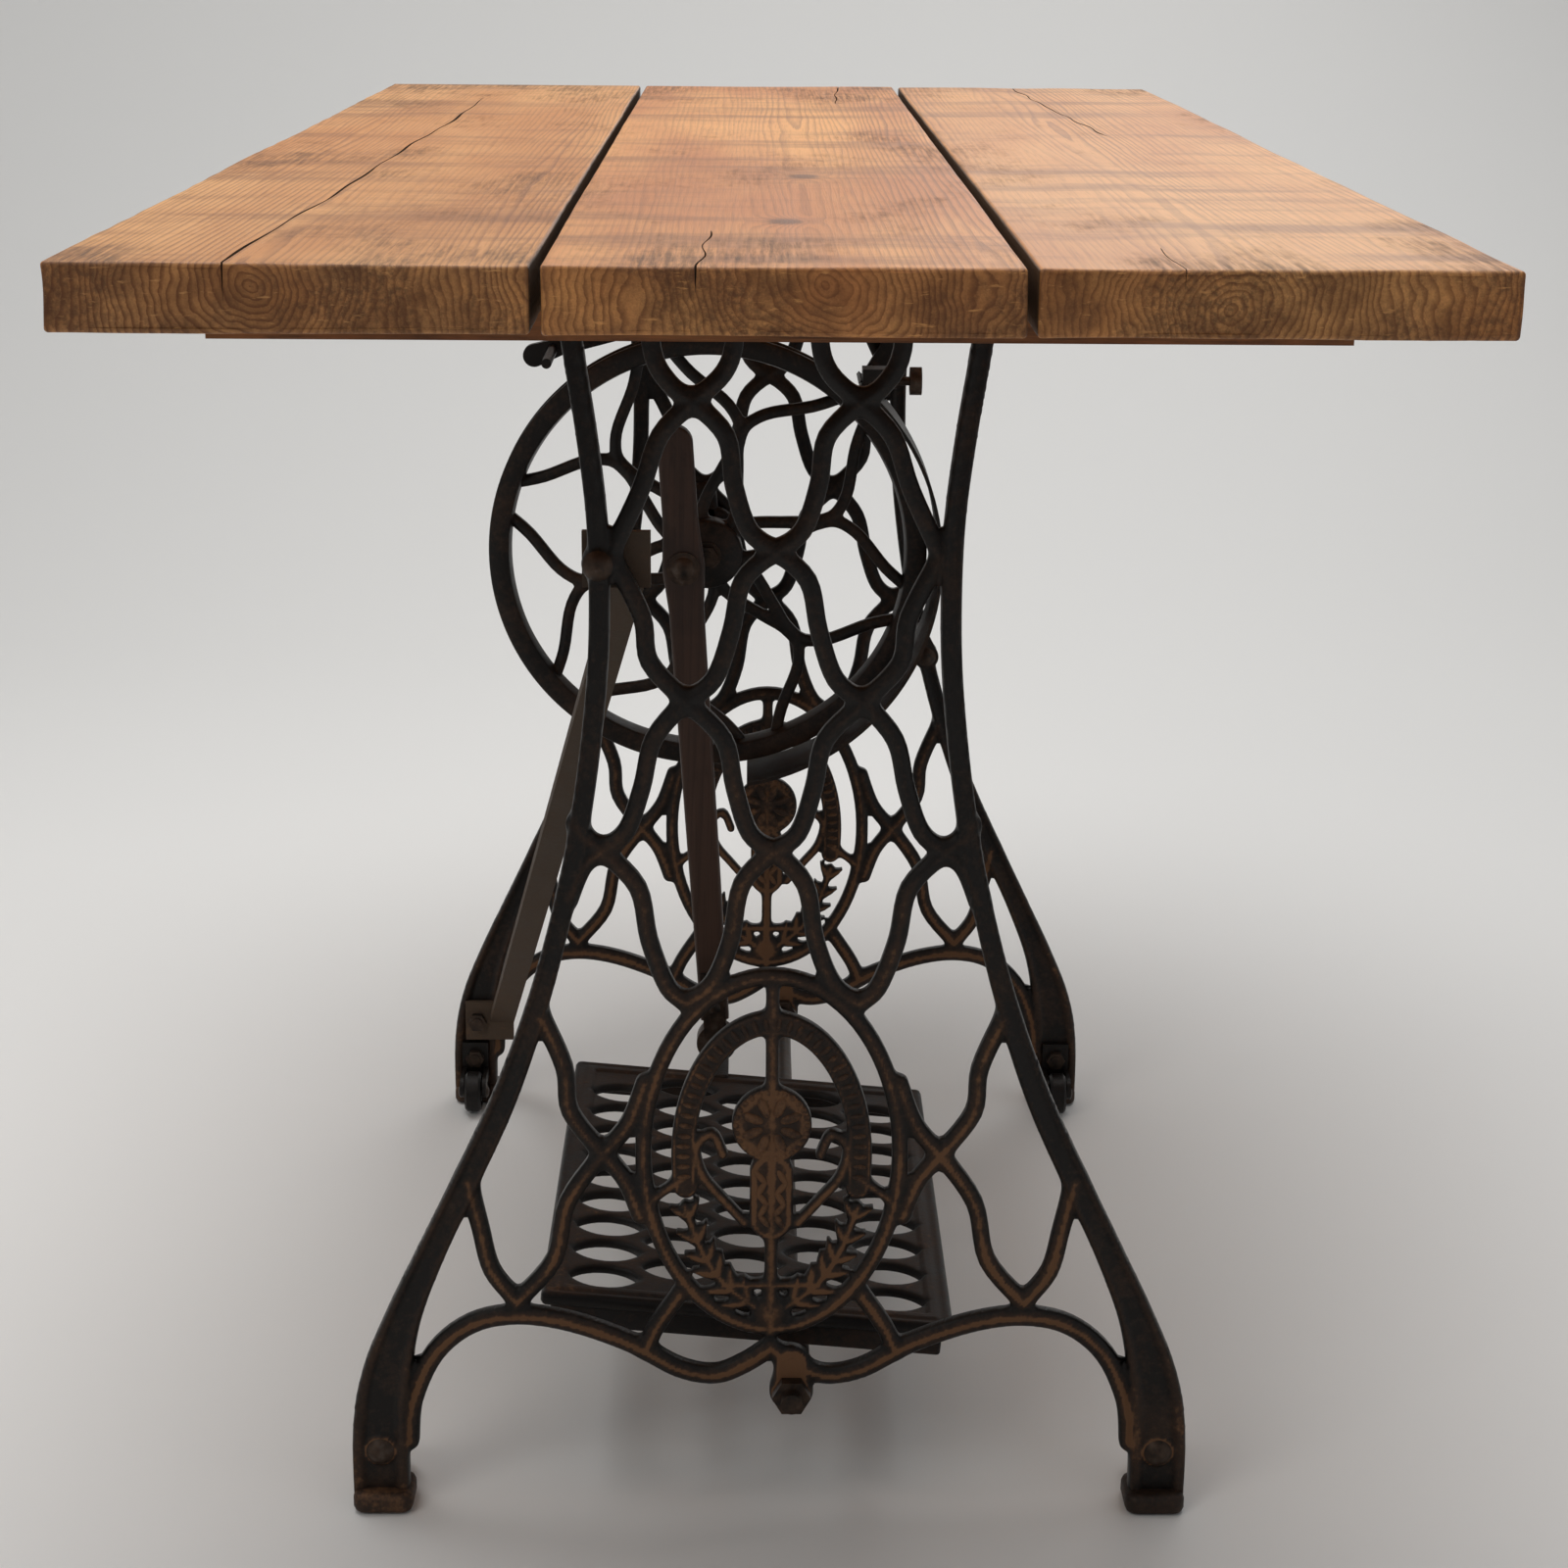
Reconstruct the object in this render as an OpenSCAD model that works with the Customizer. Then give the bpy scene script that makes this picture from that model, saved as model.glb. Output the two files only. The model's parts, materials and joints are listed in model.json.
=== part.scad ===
// Vintage sewing table: a three-plank top on two cast treadle frames,
// with treadle, wooden pitman rod, flywheel, dress guard and casters.
// X runs from the back (-) to the operator's side (+), Y along the top,
// Z up. The origin is on the floor, under the centre of the top.

/* [Tabletop] */
// Length of the top, along Y
top_l = 1220; // [1000:10:1500]
// Width of the top, along X
top_w = 600; // [520:5:760]
// Thickness of the planks
top_t = 29; // [22:1:40]
// Number of planks side by side
plank_count = 3; // [3:1:3]
// Gap between two planks
plank_gap = 4; // [2:0.5:8]
// Rounding of the planks' long edges
plank_round = 3; // [1:0.5:6]
// Width of a batten under the planks, along Y
batten_w = 60; // [40:1:90]
// Thickness of a batten
batten_t = 18; // [12:1:26]
// Distance from the end of the top to the near side of a batten
batten_inset = 116; // [60:1:200]
// How far a batten stops short of the top's long edges
batten_end_gap = 45; // [20:1:90]

/* [End frames] */
// Height of a cast end frame
frame_h = 711; // [640:1:780]
// Width over the feet
foot_w = 474; // [420:1:520]
// Distance between the middle planes of the two frames
frame_span = 600; // [520:1:760]
// Depth of the lattice bars, along Y
lattice_d = 10; // [6:1:12]
// Depth of the legs, along Y
leg_d = 16; // [14:1:26]
// Width of a lattice bar
bar_w = 9.6; // [7:0.2:12]
// Rounding in the corners where bars meet
fillet_r = 4; // [1:0.5:6]
// Height of the foot pads
pad_h = 12; // [8:1:20]
// Depth of the foot pads, along Y
pad_d = 32; // [24:1:44]
// Width of the flange under the top, along Y
flange_w = 26; // [22:1:44]
// Thickness of that flange
flange_t = 8; // [5:1:12]

/* [Wheel] */
// Outer radius of the flywheel
wheel_r = 153; // [130:1:165]
// Radial depth of its rim
rim_t = 14; // [10:1:20]
// Width of its rim, along Y
rim_w = 22; // [16:1:30]
// Width of the belt groove in the rim
groove_w = 10; // [6:1:14]
// Depth of the belt groove
groove_d = 5; // [3:0.5:8]
// Sideways place of the wheel's axis
wheel_x = -43; // [-60:1:-30]
// Height of the wheel's axis
wheel_z = 444; // [420:1:470]
// Distance from the middle of the table to the wheel's middle plane
wheel_y = 225; // [200:1:236]
// Number of spoke lobes
spoke_count = 6; // [5:1:8]
// Radius of the wheel's journal
stud_r = 7; // [6:0.5:8]
// Crank radius
crank_r = 16; // [15:0.5:18]
// Radius of the crank pin
pin_r = 5; // [4:0.5:5.5]

/* [Treadle] */
// Width of the treadle plate, along X
treadle_w = 239; // [200:1:260]
// Length of the treadle plate, along Y
treadle_l = 356; // [300:1:380]
// Thickness of the treadle plate
treadle_t = 9; // [6:1:12]
// Solid border around its slots
treadle_border = 14; // [10:1:22]
// Tilt of the plate at rest, the operator's side lower
treadle_tilt = 5; // [0:0.5:10]
// Columns of slots across the plate
slot_cols = 5; // [3:1:7]
// Rows of slots along the plate
slot_rows = 9; // [6:1:12]
// Sideways place of the rocking shaft
shaft_x = 12; // [0:1:24]
// Height of the rocking shaft
shaft_z = 72; // [70:1:84]
// Radius of the rocking shaft
shaft_r = 6; // [5:0.5:8]
// Sideways place of the ball joint under the pitman rod
ball_x = -36; // [-44:1:-30]
// Radius of that ball
ball_r = 8; // [6:0.5:9]

/* [Pitman rod] */
// Width of the wooden rod at its head
rod_w = 24; // [22:1:34]
// Width of the rod at its foot
rod_foot_w = 20; // [16:1:26]
// Thickness of the rod, along Y
rod_t = 14; // [10:1:16]
// How far the rod's head runs on above the crank bearing
rod_over = 97; // [40:1:110]
// Distance from the middle of the table to the rod's middle plane
rod_y = 159; // [150:1:165]

/* [Dress guard] */
// Gap between the wheel's rim and the guard
guard_gap = 7; // [5:0.5:14]
// Thickness of the guard's sheet
guard_t = 2.5; // [1.5:0.5:4]
// Width of the guard, along Y
guard_w = 58; // [40:1:70]
// Angle of the guard's upper end above the horizontal
guard_top = 50; // [30:1:60]
// Angle of its lower end below the horizontal
guard_low = 80; // [60:1:85]

/* [Casters] */
// Radius of a caster wheel
caster_r = 15; // [12:0.5:18]
// Width of a caster wheel
caster_w = 12; // [8:0.5:14]
// Height of a caster wheel above the floor the feet stand on
caster_lift = 1; // [0.5:0.5:3]

/* [Fits] */
// Radial clearance of a shaft that turns in its bore
run_fit = 0.05; // [0.02:0.01:0.1]
// Radial clearance of a fixed screw or pin in its hole
seat_fit = 0.02; // [0.01:0.01:0.05]
// Axial clearance between faces that turn past each other
face_gap = 0.4; // [0.3:0.1:1]

/* [Hidden] */
$fn = 64;

wood_colour = "peru";
iron_colour = "#3a2f2a";
rust_colour = "#6b4630";
steel_colour = "#8a8783";
rod_colour = "#8a5a34";

frame_y = frame_span / 2;
plank_w = (top_w - (plank_count - 1) * plank_gap) / plank_count;
plank_pitch = plank_w + plank_gap;
leg_face = frame_y - leg_d / 2;
batten_y = top_l / 2 - batten_inset - batten_w / 2;
batten_l = top_w - 2 * batten_end_gap;
kx = foot_w / 474;
kz = frame_h / 711;

// --- helpers -------------------------------------------------------------

// A point of a Catmull-Rom curve between b and c
function cr(a, b, c, d, t) =
    0.5 * (2 * b + (c - a) * t + (2 * a - 5 * b + 4 * c - d) * t * t
           + (3 * b - a - 3 * c + d) * t * t * t);

// A smooth curve through all of the points, with steps between each two
function curve(p, steps = 4) = concat([
    for (i = [0 : len(p) - 2], k = [0 : steps - 1])
        cr(p[max(i - 1, 0)], p[i], p[i + 1], p[min(i + 2, len(p) - 1)], k / steps)
], [p[len(p) - 1]]);

// Direction square to a curve at its point i
function side(c, i) =
    let (d = c[min(i + 1, len(c) - 1)] - c[max(i - 1, 0)], n = norm([d.x, d.y]))
    [-d.y / n, d.x / n];

// A bar of even width along a curve, with round ends
module bar(points, width, steps = 4) {
    c = curve(points, steps);
    left = [for (i = [0 : len(c) - 1]) c[i] + side(c, i) * width / 2];
    right = [for (i = [len(c) - 1 : -1 : 0]) c[i] - side(c, i) * width / 2];
    polygon(concat(left, right));
    for (end = [c[0], c[len(c) - 1]])
        translate(end) circle(d = width, $fn = 20);
}

// A bar whose half-width is the third number of each point
module tapered_bar(points, steps = 4) {
    c = curve(points, steps);
    xy = [for (p = c) [p.x, p.y]];
    left = [for (i = [0 : len(c) - 1]) xy[i] + side(xy, i) * c[i][2]];
    right = [for (i = [len(c) - 1 : -1 : 0]) xy[i] - side(xy, i) * c[i][2]];
    polygon(concat(left, right));
}

module both_sides() {
    children();
    mirror([1, 0]) children();
}

// Stands a drawing (x across, y up) in the XZ plane, its depth along Y
module upright(depth, y = 0) {
    translate([0, y + depth / 2, 0]) rotate([90, 0, 0]) linear_extrude(depth) children();
}

module along_y(r, y0, y1, x = 0, z = 0) {
    translate([x, y0, z]) rotate([-90, 0, 0]) cylinder(r = r, h = y1 - y0);
}

module along_x(r, x0, x1, y = 0, z = 0) {
    translate([x0, y, z]) rotate([0, 90, 0]) cylinder(r = r, h = x1 - x0);
}

// A domed screw head on the +Z side of the origin
module dome(r, h) {
    rotate_extrude() intersection() {
        translate([0, h - (r * r + h * h) / (2 * h)]) circle(r = (r * r + h * h) / (2 * h), $fn = 96);
        square([r, h]);
    }
}

module hex(r, h) {
    cylinder(r = r, h = h, $fn = 6);
}

module rounded_box(w, d, h, r) {
    linear_extrude(h) offset(r) square([w - 2 * r, d - 2 * r], center = true);
}

// --- tabletop ------------------------------------------------------------

screw_r = 2.5;
screw_head_r = 5;
screw_head_h = 2.6;
batten_screw_bite = 12;
top_screw_bite = 16;
batten_screw_x = [for (i = [-1 : 1], s = [-1, 1]) i * plank_pitch + s * plank_w / 5];
top_z0 = frame_h;

module batten_holes(grow, z0, z1) {
    for (x = batten_screw_x, y = [-batten_y, batten_y])
        translate([x, y, z0]) cylinder(r = screw_r + grow, h = z1 - z0);
}

module frame_screw_holes(grow, z0, z1) {
    for (x = top_screw_x, y = [-frame_y, frame_y])
        translate([x, y, z0]) cylinder(r = screw_r + grow, h = z1 - z0);
}

module plank(index) {
    color(wood_colour) difference() {
        translate([index * plank_pitch, top_l / 2, top_z0 + top_t / 2]) rotate([90, 0, 0])
            linear_extrude(top_l) offset(plank_round)
                square([plank_w - 2 * plank_round, top_t - 2 * plank_round], center = true);
        batten_holes(seat_fit, top_z0 - 1, top_z0 + batten_screw_bite);
        frame_screw_holes(seat_fit, top_z0 - 1, top_z0 + top_screw_bite);
    }
}

module plank_left() { plank(-1); }
module plank_middle() { plank(0); }
module plank_right() { plank(1); }

module batten(y) {
    color(wood_colour) difference() {
        translate([-batten_l / 2, y - batten_w / 2, top_z0 - batten_t]) cube([batten_l, batten_w, batten_t]);
        batten_holes(seat_fit, top_z0 - batten_t - 1, top_z0 + 1);
    }
}

module batten_near() { batten(-batten_y); }
module batten_far() { batten(batten_y); }

module wood_screw(z_head, bite) {
    translate([0, 0, z_head]) cylinder(r = screw_r, h = bite - 1);
    translate([0, 0, z_head]) mirror([0, 0, 1]) dome(screw_head_r, screw_head_h);
}

module batten_screws() {
    color(steel_colour) for (x = batten_screw_x, y = [-batten_y, batten_y])
        translate([x, y, 0]) wood_screw(top_z0 - batten_t, batten_t + batten_screw_bite);
}

module top_screws(y) {
    color(steel_colour) for (x = top_screw_x)
        translate([x, y, 0]) wood_screw(top_z0 - flange_t, flange_t + top_screw_bite);
}

module top_screws_near() { top_screws(-frame_y); }
module top_screws_far() { top_screws(frame_y); }

// --- cast end frames -----------------------------------------------------

// The pattern of one half of a frame, on the 474 by 711 mm casting, as centre lines
// of its bars; it is scaled to foot_w and frame_h, and mirrored for the other half.
leg_line = [
    [109, 711, 6], [105, 668, 5.5], [98, 620, 5.5], [93, 575, 5.5], [92, 530, 5.5], [94, 484, 5.5],
    [101, 425, 5.5], [111, 370, 5.5], [127, 308, 6], [147, 250, 7], [171, 197, 7.5], [190, 156, 8],
    [206, 118, 10], [217, 80, 14], [221, 45, 16], [221.5, 0, 16]
];

// The outer screws go up through ears beside the legs, the inner ones between the vines
outer_screw_x = max(leg_line[0].x * kx + 14, plank_w / 2 + plank_gap + 11);
inner_screw_x = 44 * kx;
top_screw_x = [-outer_screw_x, -inner_screw_x, inner_screw_x, outer_screw_x];

waist_c = [47, 476];
knot_a = [43, 635];
knot_b = [86, 555];
knot_d = [92, 393];
knot_e = [46.5, 306.5];
knot_f = [93.3, 217];
knot_g = [142, 127];
vine_lines = [
    [[21.5, 705], [21.5, 669], [27, 650], knot_a],
    [knot_a, [55, 644], [64, 662], [66, 705]],
    [knot_a, [26, 617], [22, 592], [14, 568], [0, 557]],
    [knot_a, [60, 617], [70, 589], knot_b],
    [[0, 557], [17, 541], [23, 514], [32, 488], waist_c],
    [knot_b, [70, 522], [66, 497], waist_c],
    [waist_c, [64, 455], [70.5, 428], [79, 404], knot_d],
    [waist_c, [27, 455], [21, 428], [13, 403], [0, 393]],
    [knot_d, [102, 384], [110, 366]],
    [knot_d, [102, 402], [106, 408]],
    [knot_d, [73, 372], [67, 342], [57, 315], knot_e],
    [[0, 393], [17, 374], [23, 342], [33, 317], knot_e],
    [[126, 298], [114, 268], [111, 242], knot_f],
    [knot_f, [79, 235], [70, 259]],
    [knot_f, [81, 201], [73, 180]],
    [knot_f, [113, 188], [121, 153], knot_g],
    [[168, 201], [162, 172], [156, 146], knot_g],
    [[70, 98], [64, 112], [51, 132]]
];
arch_line = [
    [205, 40], [202, 66], [189, 95], [168, 113], [142, 118.5], [112, 114], [78, 101],
    [52, 86], [31, 82], [14, 89], [0, 99]
];
arch_w = 11;
oval_z = 216.5;
oval_rx = 71;
oval_rz = 105;
oval_w = 8.7;
crown_rx = 49;
crown_rz = 78;
crown_w = 13;
scroll_line = [[15, 176], [27, 190], [38, 204], [42, 221], [33, 229], [27, 217]];
sprig_line = [[9, 125], [26, 139], [39, 160], [48, 186]];
lug_r = 12;
boss_r = 20;

// An ellipse arc about the medallion's centre, from angle a0 to a1
function oval_arc(rx, rz, a0, a1, n) =
    [for (i = [0 : n]) let (a = a0 + (a1 - a0) * i / n) [rx * cos(a), oval_z + rz * sin(a)]];

module below_flange() {
    intersection() {
        children();
        translate([-400, 0]) square([800, 711 - flange_t / 2]);
    }
}

module lattice_outline() {
    below_flange() offset(r = -fillet_r, $fn = 24) offset(r = fillet_r, $fn = 24) both_sides() {
        tapered_bar(leg_line);
        for (line = vine_lines) bar(line, bar_w);
        bar(arch_line, arch_w);
        bar(oval_arc(oval_rx, oval_rz, -90, 90, 10), oval_w, 4);
    }
}

module medallion_outline() {
    both_sides() {
        bar(oval_arc(crown_rx, crown_rz, -14, 90, 6), crown_w, 3);
        bar(scroll_line, 5);
        bar(sprig_line, 7);
        bar([[crown_rx, 203], [58, 196], [66, 190]], 5);
    }
    translate([0, 235]) circle(r = 22);
    translate([-4, 110]) square([8, 204]);
    translate([-13, 168]) square([26, 46]);
    translate([0, 121]) circle(r = 11);
    translate([-26, 136]) square([52, 4.5]);
}

module leg_outline() {
    below_flange() both_sides() {
        tapered_bar(leg_line);
        translate([foot_w / kx / 2 - 2 * 16, 0]) square([31.5, pad_h / kz]);
    }
}

module shaft_lug_outline() {
    translate([shaft_x, shaft_z]) circle(r = lug_r);
    translate([shaft_x - lug_r, shaft_z]) square([2 * lug_r, 20 * kz]);
}

module wheel_boss_outline() {
    translate([wheel_x, wheel_z]) circle(r = boss_r);
    hull() for (p = [[wheel_x, wheel_z], [-waist_c.x * kx, waist_c.y * kz]])
        translate(p) circle(r = 8, $fn = 32);
}

module frame_body() {
    upright(lattice_d) scale([kx, kz]) lattice_outline();
    upright(lattice_d * 0.6) scale([kx, kz]) medallion_outline();
    upright(leg_d) scale([kx, kz]) leg_outline();
    upright(lattice_d) shaft_lug_outline();
    translate([0, 0, frame_h - flange_t]) rounded_box(2 * outer_screw_x + 24, flange_w, flange_t, 5);
    for (s = [-1, 1])
        translate([s * (foot_w / 2 - 17), 0, 0]) rounded_box(34, pad_d, pad_h, 6);
}

caster_x = foot_w / 2 - 16;
bolt_z = 36;
bolt_r = 4;

module frame_holes() {
    for (x = top_screw_x)
        translate([x, 0, frame_h - flange_t - 1]) cylinder(r = screw_r + seat_fit, h = flange_t + 2);
    along_y(shaft_r + seat_fit, -pad_d, pad_d, shaft_x, shaft_z);
    for (s = [-1, 1]) along_y(bolt_r + seat_fit, -pad_d, pad_d, s * caster_x, bolt_z);
}

// Bolt holes for the brace ends on side s
module brace_holes(s) {
    for (e = brace_ends) if (e[0] == s)
        along_y(bolt_r + seat_fit, -pad_d, pad_d, leg_x_at(e[1]), e[1]);
}

module end_frame_near() {
    color(iron_colour) translate([0, -frame_y, 0]) difference() {
        frame_body();
        frame_holes();
        brace_holes(-1);
    }
}

module end_frame_far() {
    color(iron_colour) translate([0, frame_y, 0]) difference() {
        union() {
            frame_body();
            upright(boss_d, boss_shift) wheel_boss_outline();
        }
        frame_holes();
        brace_holes(1);
        along_y(stud_thread_r + seat_fit, -pad_d, pad_d, wheel_x, wheel_z);
        along_y(shifter_screw_r + seat_fit, -pad_d, pad_d, shifter_x, shifter_z);
        for (p = arm_ends)
            along_y(guard_screw_r + seat_fit, -pad_d, pad_d, p.x, p.y);
    }
}

boss_d = 20;
boss_shift = (leg_d - boss_d) / 2 - 7;

// --- rear brace ----------------------------------------------------------

// Heights of the brace's bolts: the upper on the near back leg, the lower on the far one
brace_near_z = 550 * kz;
brace_low_z = 66 * kz;
brace_w = 18;
brace_t = 6;
brace_in = 18;
ear_t = 5;
ear_h = 30;

// Middle of the back leg at a height, from the leg's own line
function leg_x_at(z) = -kx * lookup(z / kz, [for (i = [len(leg_line) - 1 : -1 : 0])
    [leg_line[i].y, leg_line[i].x]]);

// Each bolted end: side of the table, then height
brace_ends = [[-1, brace_near_z], [1, brace_low_z]];

// One flat bar, its width across the legs, on the operator's side of the back legs
module rear_brace() {
    color(rust_colour) difference() {
        union() {
            hull() for (e = brace_ends)
                translate([leg_x_at(e[1]) + brace_in - brace_w / 2, e[0] * (leg_face - 1) - 1, e[1] - brace_t / 2])
                    cube([brace_w, 2, brace_t]);
            for (e = brace_ends)
                translate([leg_x_at(e[1]) - 9, e[0] * leg_face - (e[0] + 1) / 2 * ear_t, e[1] - ear_h / 2])
                    cube([9 + brace_in + brace_w / 2, ear_t, ear_h]);
        }
        for (e = brace_ends)
            translate([leg_x_at(e[1]), e[0] * frame_y, e[1]]) rotate([90, 0, 0])
                cylinder(r = bolt_r + seat_fit, h = 60, center = true);
    }
}

// A bolt along Y through a leg: round head outside, hex nut inside
module leg_bolt(x, z, s, grip) {
    translate([x, s * (frame_y + leg_d / 2), z]) rotate([-s * 90, 0, 0]) dome(8, 4);
    nut_face = frame_y + leg_d / 2 - grip;
    translate([x, 0, z]) rotate([-s * 90, 0, 0]) translate([0, 0, nut_face - 6])
        cylinder(r = bolt_r, h = grip + 6);
    translate([x, 0, z]) rotate([-s * 90, 0, 0]) translate([0, 0, nut_face - 5])
        hex(7, 5);
}

module brace_bolts() {
    color(steel_colour) for (e = brace_ends)
        leg_bolt(leg_x_at(e[1]), e[1], e[0], leg_d + ear_t);
}

// --- treadle -------------------------------------------------------------

treadle_x = -13;
treadle_y = -88;
treadle_z = 100;
eye_r = 11;
eye_w = 22;
eye_inset = 16;
skirt_h = 16;
skirt_t = 7;
shaft_end = frame_y + lattice_d / 2 + 14;
ball_z = treadle_z - (ball_x - treadle_x) * tan(treadle_tilt);
ball_neck_r = 3.5;
socket_r = 14;

module treadle_shaft() {
    color(steel_colour) along_y(shaft_r, -shaft_end, shaft_end, shaft_x, shaft_z);
}

module shaft_nuts() {
    color(steel_colour) for (s = [-1, 1], inner = [0, 1]) {
        face = frame_y + (inner == 1 ? -lattice_d / 2 - 7 : lattice_d / 2);
        translate([shaft_x, 0, shaft_z]) rotate([-s * 90, 0, 0]) translate([0, 0, face]) difference() {
            hex(11, 7);
            translate([0, 0, -1]) cylinder(r = shaft_r + seat_fit, h = 9);
        }
    }
}

// One lens-shaped slot: the overlap of two discs
module slot_outline(length, height) {
    r = (length * length + height * height) / (4 * height);
    intersection() {
        translate([0, r - height / 2]) circle(r = r);
        translate([0, height / 2 - r]) circle(r = r);
    }
}

module treadle_slots() {
    cell_x = (treadle_w - 2 * treadle_border) / slot_cols;
    cell_y = (treadle_l - 2 * treadle_border) / (slot_rows + 0.5);
    for (i = [0 : slot_cols - 1], j = [0 : slot_rows - 1])
        translate([
            -treadle_w / 2 + treadle_border + (i + 0.5) * cell_x,
            -treadle_l / 2 + treadle_border + (j + 0.5 + (i % 2) / 2) * cell_y
        ]) slot_outline(cell_x * 0.94, cell_y * 0.72);
}

module treadle_plate() {
    color(rust_colour) difference() {
        union() {
            translate([treadle_x, treadle_y, treadle_z]) rotate([0, treadle_tilt, 0]) {
                translate([0, 0, -treadle_t / 2]) linear_extrude(treadle_t) difference() {
                    offset(4) square([treadle_w - 8, treadle_l - 8], center = true);
                    treadle_slots();
                }
                for (s = [-1, 1])
                    translate([-treadle_w / 2 + 6, s * (treadle_l / 2 - 5) - skirt_t / 2, -skirt_h])
                        cube([treadle_w - 12, skirt_t, skirt_h]);
            }
            for (s = [-1, 1]) {
                eye_y = treadle_y + s * (treadle_l / 2 - eye_inset);
                along_y(eye_r, eye_y - eye_w / 2, eye_y + eye_w / 2, shaft_x, shaft_z);
                translate([shaft_x - eye_r, eye_y - eye_w / 2, shaft_z])
                    cube([2 * eye_r, eye_w, treadle_z - shaft_z - 4]);
            }
            translate([ball_x - 9, treadle_y + treadle_l / 2 - 12, ball_z - 6])
                cube([18, arm_end_y - treadle_y - treadle_l / 2 + 12, 12]);
        }
        along_y(shaft_r + run_fit, treadle_y - treadle_l, treadle_y + treadle_l, shaft_x, shaft_z);
        along_y(ball_neck_r + seat_fit, arm_end_y - 16, arm_end_y + 1, ball_x, ball_z);
    }
}

arm_end_y = rod_y - socket_r - 11;

module ball_stud() {
    color(steel_colour) {
        along_y(ball_neck_r, arm_end_y - 15, rod_y - ball_r / 2, ball_x, ball_z);
        translate([ball_x, rod_y, ball_z]) sphere(r = ball_r);
        translate([ball_x, arm_end_y, ball_z]) rotate([-90, 0, 0]) hex(6, 4);
    }
}

// --- pitman rod ----------------------------------------------------------

// The crank stands square to the rod's line, so the rod passes it at rest
wheel_c = [wheel_x, wheel_z];
ball_c = [ball_x, ball_z];
crank_angle = 169;
pin_c = wheel_c + crank_r * [cos(crank_angle), sin(crank_angle)];
rod_dir = (pin_c - ball_c) / norm(pin_c - ball_c);
rod_lean = atan2(rod_dir.x, rod_dir.y);
pin_s = norm(pin_c - ball_c);
bearing_r = 9;
journal_r = 5;
rod_start = socket_r + 4;

// Puts a drawing (x across the rod, y up it from the ball) at the rod
module on_rod(depth, y = rod_y) {
    translate([ball_x, y + depth / 2, ball_z]) rotate([90, 0, 0]) rotate([0, 0, -rod_lean])
        linear_extrude(depth) children();
}

// The rod's outline in one piece: half-widths up its length, then the round head
module rod_outline(head) {
    c = curve([
        [rod_foot_w / 2, rod_start], [rod_foot_w / 2 + 1, pin_s * 0.45], [rod_w / 2, pin_s - 30],
        [rod_w / 2 + 2.5, pin_s], [rod_w / 2, pin_s + 30], [rod_w / 2, head]
    ]);
    polygon(concat(
        c,
        [for (a = [10 : 10 : 170]) [rod_w / 2 * cos(a), head + rod_w / 2 * sin(a)]],
        [for (i = [len(c) - 1 : -1 : 0]) [-c[i].x, c[i].y]]
    ));
}

module pitman_rod() {
    color(rod_colour) difference() {
        on_rod(rod_t) rod_outline(pin_s + rod_over - rod_w / 2);
        along_y(bearing_r + seat_fit, rod_y - 30, rod_y + 30, pin_c.x, pin_c.y);
        for (k = [0, 1]) along_y(socket_screw_r + seat_fit, rod_y - 30, rod_y + 30,
            socket_screw_c[k].x, socket_screw_c[k].y);
    }
}

module pitman_bearing() {
    color(steel_colour) difference() {
        union() {
            along_y(bearing_r, rod_y - rod_t / 2, rod_y + rod_t / 2, pin_c.x, pin_c.y);
            along_y(bearing_r + 2.5, rod_y - rod_t / 2 - 1.5, rod_y - rod_t / 2, pin_c.x, pin_c.y);
        }
        along_y(journal_r + seat_fit, rod_y - 30, rod_y + 30, pin_c.x, pin_c.y);
    }
}

module bearing_screw() {
    color(steel_colour) {
        along_y(journal_r, rod_y - rod_t / 2 - 1.5, rod_y + rod_t / 2, pin_c.x, pin_c.y);
        translate([pin_c.x, rod_y - rod_t / 2 - 1.5, pin_c.y]) rotate([90, 0, 0]) dome(8, 3.5);
    }
}

socket_screw_r = 2.5;
strap_t = 2;
strap_l = 46;
socket_screw_c = [for (s = [rod_start + 10, rod_start + 28]) ball_c + s * rod_dir];

module pitman_socket() {
    color(steel_colour) difference() {
        union() {
            along_y(socket_r, rod_y - rod_t / 2, rod_y + rod_t / 2, ball_x, ball_z);
            on_rod(rod_t) translate([-8, 0]) square([16, rod_start]);
            for (s = [-1, 1]) on_rod(strap_t, rod_y + s * (rod_t + strap_t) / 2)
                translate([-8, 0]) square([16, rod_start + strap_l - 10]);
        }
        translate([ball_x, rod_y, ball_z]) sphere(r = ball_r + face_gap);
        along_y(ball_neck_r + 2, rod_y - 30, rod_y, ball_x, ball_z);
        for (k = [0, 1]) along_y(socket_screw_r + seat_fit, rod_y - 30, rod_y + 30,
            socket_screw_c[k].x, socket_screw_c[k].y);
    }
}

module socket_screws() {
    color(steel_colour) for (c = socket_screw_c) {
        along_y(socket_screw_r, rod_y - rod_t / 2 - strap_t, rod_y + rod_t / 2 + strap_t, c.x, c.y);
        for (s = [-1, 1])
            translate([c.x, rod_y + s * (rod_t / 2 + strap_t), c.y]) rotate([-s * 90, 0, 0]) dome(5, 2.4);
    }
}

// --- flywheel ------------------------------------------------------------

hub_r = 24;
hub_y0 = wheel_y - 15;
hub_y1 = wheel_y + 19;
spoke_d = 8;
spoke_w = 8;
inner_ring = 0.56;
stud_thread_r = 5.5;
collar_r = 12;

module rim_section() {
    inner = wheel_r - rim_t;
    difference() {
        translate([inner, -rim_w / 2]) square([rim_t, rim_w]);
        translate([wheel_r, 0]) polygon([
            [1, -groove_w / 2 - 1], [-groove_d, -groove_w / 6], [-groove_d, groove_w / 6],
            [1, groove_w / 2 + 1]
        ]);
    }
}

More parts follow.
